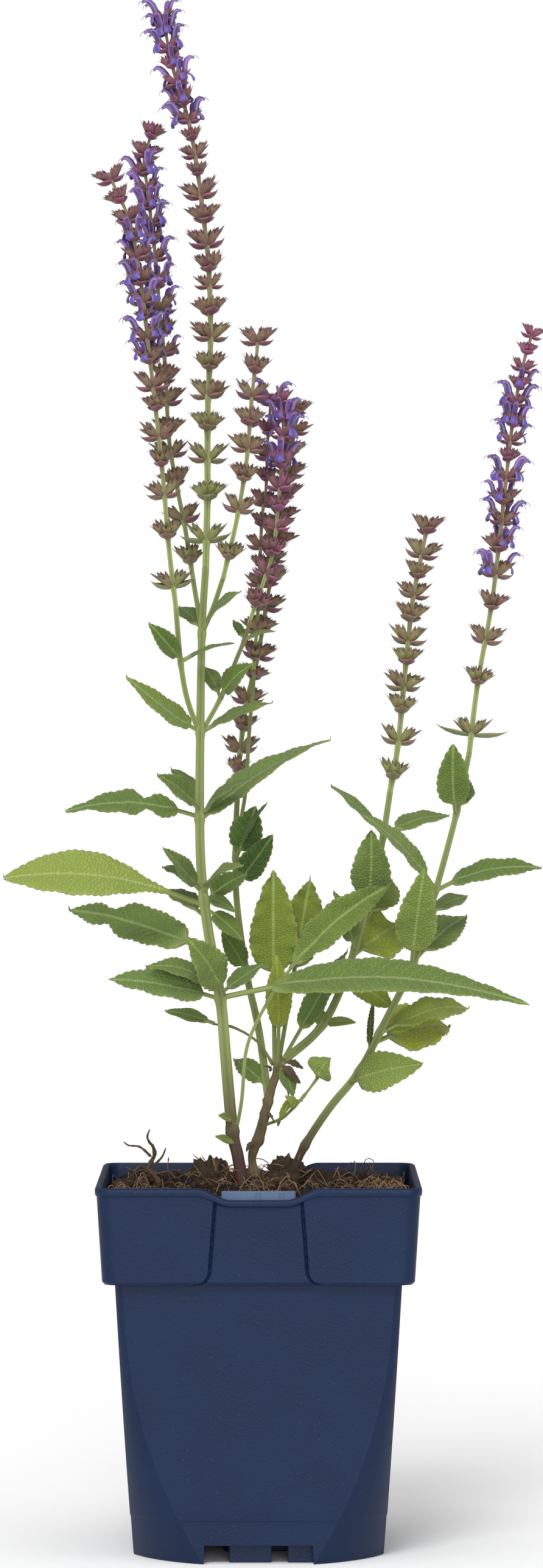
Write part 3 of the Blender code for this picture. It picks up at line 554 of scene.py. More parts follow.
def smooth_line(points, spacing):
    """A Catmull-Rom curve through the points, at even steps of about the spacing along it."""
    points = np.array(points, float)
    ends = np.vstack([2 * points[0] - points[1], points, 2 * points[-1] - points[-2]])
    a, b, c, d = (ends[k:len(ends) - 3 + k, None] for k in range(4))
    t = np.linspace(0, 1, 16, endpoint=False)[None, :, None]
    curve = 0.5 * (2 * b + (c - a) * t + (2 * a - 5 * b + 4 * c - d) * t ** 2
                   + (3 * b - a - 3 * c + d) * t ** 3)
    curve = np.vstack([curve.reshape(-1, 3), points[-1]])
    along = np.concatenate([[0], np.cumsum(np.linalg.norm(np.diff(curve, axis=0), axis=1))])
    places = np.linspace(0, along[-1], max(4, round(along[-1] / spacing) + 1))
    return np.column_stack([np.interp(places, along, curve[:, k]) for k in range(3)])


def frames_along(path):
    """The directions along a path, to its right and to its back: two cross products."""
    tangent = unit(np.gradient(path, axis=-2))
    side = unit(np.cross(np.array([0.0, 1.0, 0.001]), tangent))
    return tangent, side, np.cross(tangent, side)


def threads(paths, radii, sides=4, **marks):
    """Thin round tubes along many paths at once, each drawn in to a point at both ends."""
    _, side, back = frames_along(paths)
    turn = np.linspace(0, 2 * math.pi, sides, endpoint=False)
    taper = np.ones(paths.shape[1])
    taper[0] = taper[-1] = 0.0
    width = radii[:, None, None, None] * taper[None, :, None, None]
    rings = paths[:, :, None] + width * (
        side[:, :, None] * np.cos(turn)[:, None] + back[:, :, None] * np.sin(turn)[:, None]
    )
    count, rows = paths.shape[:2]
    index = np.arange(count * rows * sides).reshape(count, rows, sides)
    right = np.roll(index, -1, axis=2)
    quads = np.stack([index[:, :-1], right[:, :-1], right[:, 1:], index[:, 1:]], axis=-1)
    full = {
        name: np.broadcast_to(np.reshape(value, (-1, 1, 1)), index.shape).ravel()
        for name, value in marks.items()
    }
    return {"points": rings.reshape(-1, 3), "quads": quads.reshape(-1, 4), "marks": full}


def fibres(count, spread, rise, length, radius, origin):
    """Bent roots over the peat.

    Each starts at a random place and steps along a heading that turns steadily and also swings by a
    sine. Half a sine wave lifts it off the peat.
    """
    start = rng.uniform(-1, 1, (count, 2)) * spread + origin
    heading = rng.uniform(0, 2 * math.pi, count)
    bend = rng.normal(0, 0.9, (count, 2))
    reach = rng.uniform(0.45, 1.0, count) * length
    s = np.linspace(0, 1, 11)
    angle = heading[:, None] + bend[:, :1] * s * 1.8 + bend[:, 1:] * np.sin(2.5 * math.pi * s)
    step = reach[:, None] / len(s)
    x = start[:, :1] + np.cumsum(np.cos(angle) * step, axis=1)
    y = start[:, 1:] + np.cumsum(np.sin(angle) * step, axis=1)
    x, y = np.clip([x, y], -FIBRE_LIMIT, FIBRE_LIMIT)
    lift = rng.uniform(0.1, 1.0, (count, 1)) * rise * np.sin(math.pi * s ** 1.3)
    z = soil_height(x, y) + 0.1 + lift
    paths = np.stack([x, y, z], axis=-1)
    return threads(paths, rng.uniform(0.6, 1.0, count) * radius, fibre=rng.uniform(0.5, 1.0, count))


def crumbs(count):
    """Small angular grains of peat lying on the top."""
    places = rng.uniform(-CRUMB_LIMIT, CRUMB_LIMIT, (count, 2))
    heights = soil_height(places[:, 0], places[:, 1])
    sizes = rng.uniform(0.4, 1.3, count)
    return [
        ball((x, y, z + size * 0.3), size * rng.uniform(0.6, 1.2, 3), 5, 6)
        for (x, y), z, size in zip(places, heights, sizes)
    ]


def clod_roots(count):
    """Fine roots out of the first two clods: straight rays that a growing sine wave bends aside."""
    pick = rng.integers(0, 2, count)
    centres = np.array([clod[0] for clod in CLODS[:2]])[pick]
    way = unit(rng.normal(0, 1, (count, 3)) * (1, 1, 0.8) + (0, -0.3, 0.35))
    s = np.linspace(0, 1, 9)[None, :, None]
    reach = rng.uniform(6.0, 11.0, (count, 1, 1))
    sway = unit(rng.normal(0, 1, (count, 3)))[:, None]
    paths = centres[:, None] + way[:, None] * reach * s + sway * 3.0 * np.sin(4.2 * s) * s
    return threads(paths, rng.uniform(0.14, 0.3, count), fibre=rng.uniform(0.5, 1.0, count))


def dead_twig(points, foot, tip):
    """A bare twig: a round tube that tapers from foot to tip and swells at its joints by a sine."""
    path = smooth_line(points, 0.8)
    _, side, back = frames_along(path)
    turn = np.linspace(0, 2 * math.pi, 8, endpoint=False)
    share = np.linspace(0, 1, len(path))
    radius = (foot + (tip - foot) * share) * (1.0 + 0.35 * np.sin(share * 17.0) ** 4)
    radius[0] = radius[-1] = 0.0
    ring = side[:, None] * np.cos(turn)[:, None] + back[:, None] * np.sin(turn)[:, None]
    return grid_shape(path[:, None] + ring * radius[:, None, None], fibre=0.35)


def peat():
    """Nearly black peat with brown blotches; roots and fibres are tan by their mark."""
    material, tree, shader = start_material("peat_and_roots", 0.9, 0.25)
    cloud, speck = spots(tree, 0.004, 0.0016)
    ground = blend(tree, cloud, *PEAT_TONES)
    dotted = blend(tree, maths(tree, "MULTIPLY", speck, 0.6), ground, PEAT_SPECK)
    root = blend(tree, cloud, *ROOT_TONES)
    tree.links.new(blend(tree, mark(tree, "fibre"), dotted, root), shader.inputs["Base Color"])
    grit = add_node(tree, "ShaderNodeTexNoise", {
        "Vector": object_place(tree), "Scale": 1400.0, "Detail": 5.0
    })
    add_bump(tree, shader, grit.outputs["Fac"], 0.8, 0.0006)
    return material


soil_shapes = [soil_top(), root_ball(), dead_twig(TWIG, 1.0, 0.5), clod_roots(90)]
soil_shapes += [dead_twig(points, 0.45, 0.2) for points in TWIG_FORKS]
soil_shapes += [ball(centre, radii, 36, 44, 0.55) for centre, radii in CLODS]
soil_shapes += crumbs(900)
soil_shapes += [fibres(*patch) for patch in FIBRE_PATCHES]
add_piece("peat_soil", soil_shapes, peat(), ("soil",))


# Three leafy stems rise from the soil: the main one with its four side branches, a knobby brown one
# behind it, and one that leans to the right. They are square, grooved and soft, green above and
# purple brown at the foot. Wrinkled leaves with scalloped edges stand in pairs at their joints.
LEAF_GREENS = ((38, 68, 20), (82, 112, 38))
PALE_GREEN = (132, 154, 88)
YELLOW_GREEN = (150, 160, 44)
UNDER_GREEN = (134, 152, 92)
# Painted shade: the dark tone laid along the fine net of grooves between the leaf's puckers.
NET_SHADE_GREEN = (38, 66, 20)
VEIN_GREEN = (160, 178, 108)
RIM_GREEN = (176, 178, 110)
STALK_GREENS = ((84, 106, 54), (138, 150, 88))
STALK_BLOTCH = (128, 134, 72)
STEM_PURPLES = ((46, 25, 26), (78, 46, 40))
DEAD_BROWNS = ((56, 38, 28), (116, 92, 60))
RUST = (110, 84, 44)
LEAF_VARIETY = {"turn": (-22, 22), "pale": (0.0, 0.45), "yellow": (0.0, 0.22)}

# Stems: points along the middle, then the half widths at the two ends.
MAIN_STEMS = {
    "main": (
        ((-5.3, -8, 105), (-5.3, -8, 123), (-7.2, -8, 136), (-9.1, -8, 145), (-11.4, -7, 170),
         (-13.3, -6, 191), (-17.5, -4, 214), (-19.8, -3, 233), (-20.5, -2, 253), (-20.3, 0, 283),
         (-19.7, 0, 318), (-18.4, 0, 340)),
        2.4, 1.3,
    ),
    "left": (((-20.3, 0, 282), (-24.7, -3, 294), (-27, -6, 307), (-28.6, -9, 325.5)), 1.0, 0.95),
    "back": (((-19.7, 0, 317), (-21.2, 3, 326), (-22.9, 6, 336)), 0.9, 0.9),
    "middle": (((-19.7, 0, 317), (-15.8, -4, 326), (-12, -8, 337)), 0.9, 0.9),
    "purple": (
        ((-20.3, 0, 282), (-13.1, 1, 295), (-7.4, 0, 309), (-4.9, 0, 315), (-2.8, 0, 322)),
        0.9, 0.75,
    ),
    "petiole": (
        ((-8.8, -8, 141), (-6, -10.5, 155), (-4.5, -9, 172), (-1, -7, 182), (5.3, -5, 193),
         (11, -4, 201)),
        0.7, 0.6,
    ),
}
REAR_STEMS = {
    "trunk": (
        ((-1.5, 6, 105), (-1.5, 6, 126), (-2.4, 6, 135), (0, 6, 141.5), (3.1, 6, 154),
         (6.3, 6, 165), (8.5, 6, 169.5)),
        2.5, 1.7,
    ),
    "tall": (
        ((3.2, 6.5, 156), (-0.1, 14, 179), (-4.3, 19, 198), (-7.8, 23, 223.5), (-8.2, 25, 245),
         (-7.4, 26, 264)),
        1.5, 1.0,
    ),
    "thin": (
        ((-8.2, 25, 243), (-5.6, 18, 256), (-4.5, 14, 264), (-3.3, 14, 284), (-2, 16, 298),
         (-1.8, 17, 304.6)),
        0.75, 0.7,
    ),
    "right": (
        ((7.4, 6, 167.5), (21.2, 9, 179.5), (29.7, 11, 196), (37.1, 12, 220), (42.4, 12, 241),
         (45.8, 12, 262)),
        1.6, 1.1,
    ),
    "short": (((5, 6, 167), (-0.5, 6, 175), (-9, 8, 180), (-16, 9, 181)), 0.7, 0.5),
    "shoot": (
        ((1.5, 6, 146), (4.5, 4, 147), (8.5, 2, 149), (12.5, 0, 153), (16, 0, 157),
         (20.5, 0, 163)),
        0.8, 0.6,
    ),
}
RIGHT_STEMS = {
    "leaning": (
        ((10, 6, 105), (10, 6, 124), (12, 6, 130), (16.3, 5, 139.5), (24.5, 4, 152),
         (34.9, 3, 165), (43.7, 2, 182), (53.8, 0, 203), (61.3, -3, 228), (68.5, -4, 255),
         (72.9, -4, 276)),
        1.6, 1.0,
    ),
}

# Leaves: base point, tip point, width, tilt towards the front in degrees, arch, and for some of them
# the petiole's share of the length.
MAIN_LEAVES = (
    ((-19, -1, 318.5), (-6, -13, 332), 8, 35, 2),
    ((-20, 1, 318.5), (-28, 15, 327), 7, 40, 1),
    ((-27, -7, 307.5), (-38, -13, 321), 7.5, 60, 2),
    ((-26.5, -6, 307.5), (-8, -14, 314), 6, 20, 1),
    ((-5, 0, 315), (-9, 5, 322), 3.5, 60, 0.5),
    ((-4.5, 0, 315), (6, -6, 318), 4, 40, 1),
    ((-13, 0, 295), (-2, -9, 307), 8.5, 60, 2),
    ((-13.5, 2, 295), (-19, 13, 306), 6, 50, 1),
    ((-20.5, 0, 283), (-46, -8, 303), 9, 45, 3),
    ((-19.5, 0, 283), (5, -12, 294), 9, 30, 3),
    ((-21, -2, 253.5), (-67, -14, 257), 12.5, 55, 5),
    ((-21, -3, 256), (-35, -19, 269), 8.5, 55, 1),
    ((-20, 0, 255), (-31, 22, 271), 7, 20, 2),
    ((-19.5, -2, 253), (25, -8, 282), 13, 40, 2, 0.06),
    ((-19, -3, 255), (-1, -24, 268), 10, 45, 2, 0.1),
    ((-19.5, -4, 223), (-88, -20, 235), 18, 60, 7),
    ((-20.5, -4, 228.5), (-33, -20, 244), 8, 60, 1),
    ((-20, -2, 227.5), (-34, 22, 236), 8, 15, 2),
    ((-19, -3, 219), (-34, 28, 228), 9, 25, 2),
    ((-19, -4, 227.5), (-5, -26, 238), 9.5, 45, 2),
    ((-18.5, -3, 224), (-4, 6, 234), 8, 55, 2),
    ((-18, -4, 225.5), (-8, -11, 221), 5, 60, 1),
    ((-18, -4, 221.5), (-5, -9, 211), 7, 60, 1),
    ((-16.5, -4, 206.5), (-67, 27, 222), 15, 55, 3),
    ((-14, -6, 192.5), (-39, -18, 203), 9, 45, 2),
    ((-13.5, -6, 190.5), (-52, -17, 199), 12, 55, 3),
    ((-12, -7.5, 191.5), (-25, -28, 214), 13, 65, 3, 0.2),
    ((-13, -5, 192.5), (2, 0, 203), 7, 50, 1),
    ((-13, -7, 191), (93, -32, 193), 21, 32, 7),
    ((-9.5, -9, 148.5), (-14, -14, 151), 3.5, 60, 0.5),
    ((-8.5, -9, 140.5), (-15, -15, 144), 3, 60, 0.5),
    ((10.5, -4, 200.5), (45, 1, 231), 13, 50, 3, 0.06),
)
REAR_LEAVES = (
    ((5.5, 6, 167), (5, 4, 235), 17, 85, 1, 0.48),
    ((7, 7, 168), (18, 22, 233), 15, 60, 2, 0.5),
    ((8, 6, 168), (31, 8, 208), 9, 50, 2, 0.3),
    ((33.5, 10.8, 206.5), (26, 4.5, 228), 8, 60, 1),
    ((38, 11.5, 222), (39, 3, 249), 14, 80, 2),
    ((30, 11, 196.5), (47, 4, 187), 9, 70, 2),
    ((37.5, 12.5, 218), (47, 30, 231), 13, 60, 1),
    ((33, 11.5, 205), (50, 30, 216), 20, 65, 1),
    ((6.5, 5, 167), (6, 0, 206), 9, 75, 1, 0.35),
    ((-8, 24.5, 238.5), (-1, 18, 257), 12, 80, 1),
    ((-8, 24, 229), (5, 14, 247), 10, 75, 1),
    ((-8, 25, 240.5), (3, 12, 259), 4, 45, 1),
    ((-4.5, 19.5, 199), (-13, 16, 213), 8, 75, 1),
    ((43, 11.5, 247.5), (25, 6, 265), 6, 35, 1),
    ((44, 12, 247), (67, 24, 254), 9, 35, 2),
    ((2.5, 8, 159.5), (-9, 14, 169), 8, 70, 1),
    ((-15, 9, 181), (-33, 13, 186), 6, 40, 1),
    ((20, 0, 162.5), (25, -3, 170), 11, 60, 1),
    ((12.5, 0.5, 152.5), (9, -4, 157), 5, 60, 1),
    ((22, 9.5, 180.5), (19, 6, 188), 5, 60, 1),
    ((22.5, 9.5, 181), (34, 6, 182), 5, 50, 1),
    ((8, 5.5, 168.5), (12, 1, 156), 6, 60, 1),
)
RIGHT_LEAVES = (
    ((68, -4.5, 254.5), (67, -14, 279), 12, 80, 2),
    ((69, -4, 255.5), (73, 10, 267), 8, 40, 1),
    ((61.5, -3, 228), (98, -10, 237), 11, 35, 4),
    ((61, -3.5, 228.5), (35, -13, 256), 9, 40, 3),
    ((53, -0.5, 202), (57, -16, 236), 14.5, 80, 2),
    ((54.5, 0.5, 204), (73, 22, 219), 13, 60, 2),
    ((59, -2, 220), (73, 16, 226), 7, 40, 1),
    ((42, 2.5, 178), (74, 22, 187), 12, 35, 4),
    ((40.5, 3, 175), (67, 28, 180), 20, 65, 2),
    ((38.5, 3, 171.5), (40, 8, 190), 2.5, 60, 0),
    ((31, 3.5, 160.5), (57, -8, 169), 14, 65, 4),
)
STEM_SECTION = np.linspace(0, 2 * math.pi, 16, endpoint=False) + math.pi / 4
PURPLE_FADES_FROM = 130.0


def stem(points, half_foot, half_top, purple_foot, purple_top, fade=400, brown=0.0, joints=()):
    """A square tube with rounded corners and grooved faces along a smooth path.

    Each ring is a superellipse less a shallow cosine groove on every face, and swells in a bell at
    each joint. A brown stem is knobby by smooth random lumps. The purple of the foot has faded at
    the given height.
    """
    path = smooth_line(points, 1.6)
    _, side, back = frames_along(path)
    path, side, back = (np.concatenate([row[:1], row, row[-1:]]) for row in (path, side, back))
    share = np.clip((np.arange(len(path)) - 1) / (len(path) - 3), 0, 1)
    half = half_foot + (half_top - half_foot) * share
    for joint in joints:
        half = half * (1.0 + 0.28 * np.exp(-((path[:, 2] - joint) / 1.5) ** 2))
    if brown:
        half = half * (0.7 + 0.5 * lumps(path, 2.2) ** 2)
    half[0] = half[-1] = 0.0
    half = half[:, None, None]
    cosine, sine = np.cos(STEM_SECTION), np.sin(STEM_SECTION)
    flat = (np.abs(cosine) ** 5 + np.abs(sine) ** 5) ** -0.2
    flat = flat * (0.92 - 0.09 * np.cos(4 * STEM_SECTION))
    ring = side[:, None] * (cosine * flat)[:, None] + back[:, None] * (sine * flat)[:, None]
    knobs = lumps(path[:, None] + ring * half, 1.5) - 0.5
    half = half * (1.0 + 1.1 * brown * knobs)[..., None]
    faded = smoothstep((path[:, 2] - PURPLE_FADES_FROM) / (fade - PURPLE_FADES_FROM))
    purple = purple_foot * (1.0 - faded)
    purple = purple + purple_top * smoothstep(share)
    return grid_shape(
        path[:, None] + ring * half, hue=purple[:, None], brown=brown, stem=1.0,
        across=9.0, along=0.0, edge=np.sin(2 * STEM_SECTION)[None] ** 2, under=0.0, pale=0.0,
    )


def blade_half(b, width, peak, pinch, tooth, teeth, phase):
    """Half width along the blade.

    A power curve is widest at the peak and sways a little. A bell narrows it where it is pinched,
    and the root of a sine gives it a rounded scallop for each tooth.
    """
    low, high = 0.95 * peak / (1 - peak), 0.95
    half = b ** low * (1 - b) ** high / (peak ** low * (1 - peak) ** high) * width / 2
    if pinch:
        half = half * (1 - 0.5 * np.exp(-((b - pinch) / 0.085) ** 2))
    scallop = np.abs(np.sin(math.pi * (teeth * b + 0.12 * np.sin(5 * b + phase[0])))) ** 0.55
    toothed = smoothstep(b * 14) * smoothstep((1 - b) * 10)
    half = half * (1 + 0.05 * np.sin(7 * b + phase[1])) + 0.3 * tooth * (scallop - 0.8) * toothed
    return np.maximum(half, 0)


def blade_relief(u, face, half, b, length, width, tooth, teeth, phase, ruffled):
    """How far the skin of the blade stands off its flat.

    The halves fold up from the midrib and curl down at the edge by a fourth power. The edge ruffles
    by a sine along it, times the cube of the place across. The skin swells between the side veins
    by the root of a sine of the slanting distance, and the midrib is a bell, sunk above and raised
    below.
    """
    x = u * half
    fold = (0.30 + 0.1 * math.sin(phase[2])) * np.abs(x) - 0.10 * half * u ** 4
    wave = np.sin(2 * math.pi * b * length / (2.3 * tooth + 7) + phase[3])
    ruffle = 0.04 * ruffled * width * wave * np.abs(u) ** 3 * np.where(u > 0, 1.0, -0.8)
    between = np.abs(np.sin(math.pi * (teeth / 2 * b - 0.42 * np.abs(x) / tooth))) ** 0.7
    puff = 0.26 * min(1.0, width / 9) * between * (1 - u ** 4)
    puff = puff * smoothstep(b * 8) * smoothstep((1 - b) * 6)
    furrow = 0.22 * np.exp(-(x / 0.55) ** 2) * (face > 0)
    keel = 0.42 * np.exp(-(x / 0.5) ** 2) * (face < 0) * (1 - b)
    return fold + puff + (ruffle - furrow - keel) * smoothstep(b * 6)


def leaf(base, tip, width, tilt, arch, petiole=0.17, turn=0.0, yellow=0.0, pale=0.0, brown=0.0,
         hue=0.0, peak=0.37, pinch=None, ruffled=1.0, sag=0.0):
    """A leaf as one closed skin: a tube flattened to a blade, with a petiole drawn out at its foot.

    Along it, s runs over the whole length and b over the blade alone. Across it, minus the cosine
    of an angle places a point from one edge to the other, and the sine parts the upper face from
    the lower. The midrib arches, sways and sags by half a sine wave, and the blade turns about it.
    """
    base, tip = np.array(base, float), np.array(tip, float)
    length = np.linalg.norm(tip - base)
    tangent = (tip - base) / length
    facing = np.array((0.0, -math.sin(math.radians(tilt)), math.cos(math.radians(tilt))))
    normal = unit(facing - facing.dot(tangent) * tangent)
    across = np.cross(normal, tangent)
    s = np.linspace(0, 1, int(np.clip(length / 0.55, 16, 190)))[:, None]
    b = np.clip((s - petiole) / (1 - petiole), 0, 1)
    angle = np.linspace(0, 2 * math.pi, 24 if width >= 6 else 16, endpoint=False)[None]
    u, face = -np.cos(angle), np.sin(angle)
    ends = np.ones_like(s)
    ends[0] = ends[-1] = 0.0
    tooth = max(1.3, min(2.5, width * 0.22))
    teeth = max(3, round(length * (1 - petiole) / tooth))
    phase = rng.uniform(0, 6.28, 4)
    stalk = (0.45 + 0.02 * width) * (1 - smoothstep(b * 5))
    half = (blade_half(b, width, peak, pinch, tooth, teeth, phase) + stalk) * ends
    x = u * half
    straight = base + (tip - base) * s
    flat = straight[:, None] + across * x[..., None]
    wrinkle = 0.6 * (lumps(flat, 1.5) - 0.5) + 1.3 * ruffled * (lumps(flat, 5.0) - 0.5)
    height = blade_relief(u, face, half, b, length, width, tooth, teeth, phase, ruffled)
    height = height + min(0.5, width / 30) * wrinkle * smoothstep(b * 8)
    height = (height + (0.17 + 0.95 * stalk) * face) * ends
    twist = (math.radians(turn) * smoothstep(b))[..., None]
    turned_across = np.cos(twist) * across + np.sin(twist) * normal
    turned_normal = np.cos(twist) * normal - np.sin(twist) * across
    bow = np.sin(math.pi * s)
    middle = straight + normal * (arch * bow) + across * (0.022 * length * math.sin(phase[0]) * bow)
    points = middle[:, None] + turned_across * x[..., None] + turned_normal * height[..., None]
    droop = 0.03 * length * b ** 3 * (tilt < 75) * ends
    points[..., 2] -= droop + sag * bow
    dead_tip = 0.7 * smoothstep((b - 0.93) / 0.07) * (rng.random() < 0.35)
    fine = (9.0 / max(width, 4.0)) ** 0.75
    return grid_shape(
        points, across=np.abs(x) * fine, along=b * length * fine, edge=np.abs(u),
        under=(face < -1e-6) * 1.0, stem=np.clip(1 - b * 12, 0, 1), yellow=yellow, pale=pale,
        brown=np.clip(brown + dead_tip, 0, 1), hue=hue,
    )


def leaves(table, looks):
    """All the leaves of a table, each a little different. Looks gives some of them by number."""
    made = []
    for number, row in enumerate(table):
        own = {name: rng.uniform(low, high) for name, (low, high) in LEAF_VARIETY.items()}
        own.update(looks.get(number, {}))
        made.append(leaf(*row, **own))
    return made


def scrap(base, tip, width, turn):
    """A dead brown leaf, shrunk and curled, that clings to the old stem."""
    return leaf(base, tip, width, 55, 1.2, turn=turn, brown=0.95, ruffled=3.0)


def fading(tree, value, start, end, peak):
    """A mask that falls smoothly from the peak to nothing between two values."""
    return add_node(tree, "ShaderNodeMapRange", {
        "Value": value, "From Min": start, "From Max": end, "To Min": peak, "To Max": 0.0
    }, interpolation_type="SMOOTHSTEP").outputs["Result"]


def veins_group():
    """Masks of a leaf's veins from its marks: the midrib, the slanting side veins and the fine net."""
    tree, come, leave = start_group("leaf_veins", ("Spacing", "Mesh size"), ("Veins", "Net", "Height"))
    across, along = mark(tree, "across"), mark(tree, "along")
    stray = add_node(tree, "ShaderNodeTexNoise", {
        "Vector": object_place(tree), "Scale": 300.0, "Detail": 2.0
    })
    slant = maths(tree, "MULTIPLY_ADD", across, -0.84, along)
    slant = maths(tree, "MULTIPLY_ADD", stray.outputs["Fac"], 1.5, slant)
    wave = maths(tree, "PINGPONG", maths(tree, "DIVIDE", slant, come.outputs["Spacing"]), 0.5)
    place = add_node(tree, "ShaderNodeCombineXYZ", {0: across, 1: along}).outputs[0]
    cells = add_node(tree, "ShaderNodeTexVoronoi", {
        "Vector": place, "Scale": maths(tree, "DIVIDE", 1.0, come.outputs["Mesh size"])
    }, voronoi_dimensions="2D", feature="DISTANCE_TO_EDGE").outputs["Distance"]
    midrib = fading(tree, across, 0.1, 0.55, 1.0)
    lines = maths(tree, "MAXIMUM", midrib, fading(tree, wave, 0.015, 0.085, 0.62))
    height = maths(tree, "SUBTRACT", cells, maths(tree, "MULTIPLY", lines, 0.6))
    tree.links.new(lines, leave.inputs["Veins"])
    tree.links.new(fading(tree, cells, 0.02, 0.16, 1.0), leave.inputs["Net"])
    tree.links.new(height, leave.inputs["Height"])
    return tree


VEINS = veins_group()


def veins(tree, spacing, mesh_size):
    """The three masks of the group, for side veins and a net of these sizes in millimetres."""
    group = add_node(
        tree, "ShaderNodeGroup", {"Spacing": spacing, "Mesh size": mesh_size}, node_tree=VEINS
    )
    return group.outputs["Veins"], group.outputs["Net"], group.outputs["Height"]


def partly(tree, mask, amount):
    """A mask made weaker."""
    return maths(tree, "MULTIPLY", mask, amount)


def layered(tree, base, layers):
    """Tones laid over the base one after another, each where its mask is."""
    for mask, tone in layers:
        base = blend(tree, mask, base, tone)
    return base


def leaf_skin():
    """Matt leaf and stem: mid green to yellow green, and paler below, at the edge and on the veins.
    The fine net of sunk grooves is darkened as painted shade.

    By their marks, stems are purple or brown, and leaves are pale, yellow or dead.
    """
    material, tree, shader = start_material("leaf_and_stem_skin", 0.58, 0.35, 0.12)
    lines, net, height = veins(tree, 2.6, 0.85)
    cloud, speck = spots(tree, 0.006, 0.0024)
    blade = layered(tree, blend(tree, cloud, *LEAF_GREENS), (
        (partly(tree, mark(tree, "pale"), 0.8), PALE_GREEN),
        (mark(tree, "yellow"), YELLOW_GREEN),
        (partly(tree, mark(tree, "under"), 0.45), UNDER_GREEN),
        # Painted shade: the fine net of sunk grooves is darkened where shade falls in the creases.
        (partly(tree, net, 0.3), NET_SHADE_GREEN),
        (partly(tree, lines, 0.42), VEIN_GREEN),
        (partly(tree, maths(tree, "POWER", mark(tree, "edge"), 12.0), 0.3), RIM_GREEN),
    ))
    stalk = blend(tree, mark(tree, "edge"), *STALK_GREENS)
    stalk = blend(tree, partly(tree, cloud, 0.5), stalk, STALK_BLOTCH)
    skin = layered(tree, blade, (
        (mark(tree, "stem"), stalk),
        (mark(tree, "hue"), blend(tree, cloud, *STEM_PURPLES)),
        (mark(tree, "brown"), blend(tree, cloud, *DEAD_BROWNS)),
        (partly(tree, speck, 0.3), RUST),
    ))
    tree.links.new(skin, shader.inputs["Base Color"])
    off_stem = maths(tree, "SUBTRACT", 1.0, mark(tree, "stem"))
    add_bump(tree, shader, maths(tree, "MULTIPLY", height, off_stem), 0.75, 0.0008)
    return material


LEAF_SKIN = leaf_skin()

# For each stem: the purple at its foot and its top, the height where the foot's purple has faded,
# how brown it is, and the heights of its joints.
STEM_LOOKS = {
    "main": (1.0, 0.1, 185, 0.0, (145, 191, 224, 253, 283, 317)),
    "left": (0.0, 0.12, 400, 0.0, (307,)), "back": (0.0, 0.15, 400, 0.0, ()),
    "middle": (0.0, 0.1, 400, 0.0, ()), "purple": (0.0, 0.5, 400, 0.0, (295, 315)),
    "petiole": (0.15, 0.0, 190, 0.0, ()), "trunk": (0.6, 0.3, 180, 0.5, (128, 140, 154, 167)),
    "tall": (0.2, 0.2, 230, 0.0, (199, 239)), "thin": (0.1, 0.4, 400, 0.0, ()),
    "right": (0.2, 0.1, 200, 0.0, (181, 208, 222, 247)), "short": (0.2, 0.1, 300, 0.35, ()),
    "shoot": (0.5, 0.0, 160, 0.1, (153,)),
    "leaning": (1.0, 0.1, 162, 0.0, (139, 165, 178, 203, 228, 255)),
}

# The leaves that differ from the rest, by their number in the table above.
MAIN_LOOKS = {
    2: {"sag": 1.5}, 8: {"sag": 4.5}, 9: {"sag": 2.5},
    10: {"turn": 25, "pale": 0.25, "pinch": 0.3}, 13: {"turn": -30, "ruffled": 0.6},
    15: {"turn": 6, "pale": 0.75, "yellow": 0.42, "peak": 0.6, "ruffled": 0.5},
    16: {"sag": 1.0}, 21: {"pale": 0.5}, 22: {"pale": 0.2},
    23: {"turn": -35, "peak": 0.3, "pinch": 0.62}, 24: {"pale": 0.3, "sag": -2.0},
    25: {"pale": 0.45}, 26: {"turn": 10, "pale": 0.35, "yellow": 0.2},
    28: {"turn": -4, "pale": 0.2, "yellow": 0.12, "ruffled": 0.35}, 29: {"yellow": 0.4},
    30: {"yellow": 0.5}, 31: {"turn": 28, "yellow": 0.16, "ruffled": 2.0, "peak": 0.45},
}
REAR_LOOKS = {
    0: {"turn": 12, "yellow": 0.4, "ruffled": 1.8}, 1: {"turn": 20, "yellow": 0.4, "ruffled": 1.8},
    3: {"turn": 30, "pale": 0.3}, 4: {"turn": 0, "yellow": 0.1},
    5: {"yellow": 0.5, "ruffled": 2.0}, 6: {"yellow": 0.3}, 7: {"yellow": 0.7, "ruffled": 2.6},
    8: {"yellow": 0.8, "brown": 0.1}, 9: {"pale": 0.0, "yellow": 0.0},
    10: {"pale": 0.0, "yellow": 0.0}, 17: {"pale": 0.95, "yellow": 0.3},
    18: {"turn": 40, "yellow": 0.9}, 19: {"pale": 0.8}, 20: {"pale": 0.8, "yellow": 0.3},
    21: {"pale": 0.5},
}
RIGHT_LOOKS = {
    4: {"pale": 0.35, "yellow": 0.25}, 5: {"pale": 0.3}, 7: {"yellow": 0.55, "ruffled": 1.5},
    8: {"yellow": 0.95, "ruffled": 1.8}, 9: {"hue": 0.4},
    10: {"pale": 0.75, "yellow": 0.3, "ruffled": 0.5},
}

# Dead leaves on the old stem: base point, tip point, width and turn.
SCRAPS = (
    ((8, 4, 167), (14.5, -1, 161), 3.4, 70), ((7, 4.5, 165), (10.5, 2, 156), 3.2, -70),
    ((9.5, 4, 168), (15.5, 1, 166), 2.4, 50), ((4, 4, 165), (1.5, 1, 167), 2.0, 60),
    ((-2, 4.5, 140), (-4.5, 1, 137), 1.6, 30), ((3, 4.5, 150), (5.5, 1, 147.5), 1.6, -40),
)


def curled_leaf():
    """A small young leaf that hangs in a curl from the foot of the old stem."""
    return leaf((6.5, 5.2, 145.5), (15.4, 1, 155), 3.2, 60, 1, sag=-3.0, pale=0.8, yellow=0.8)


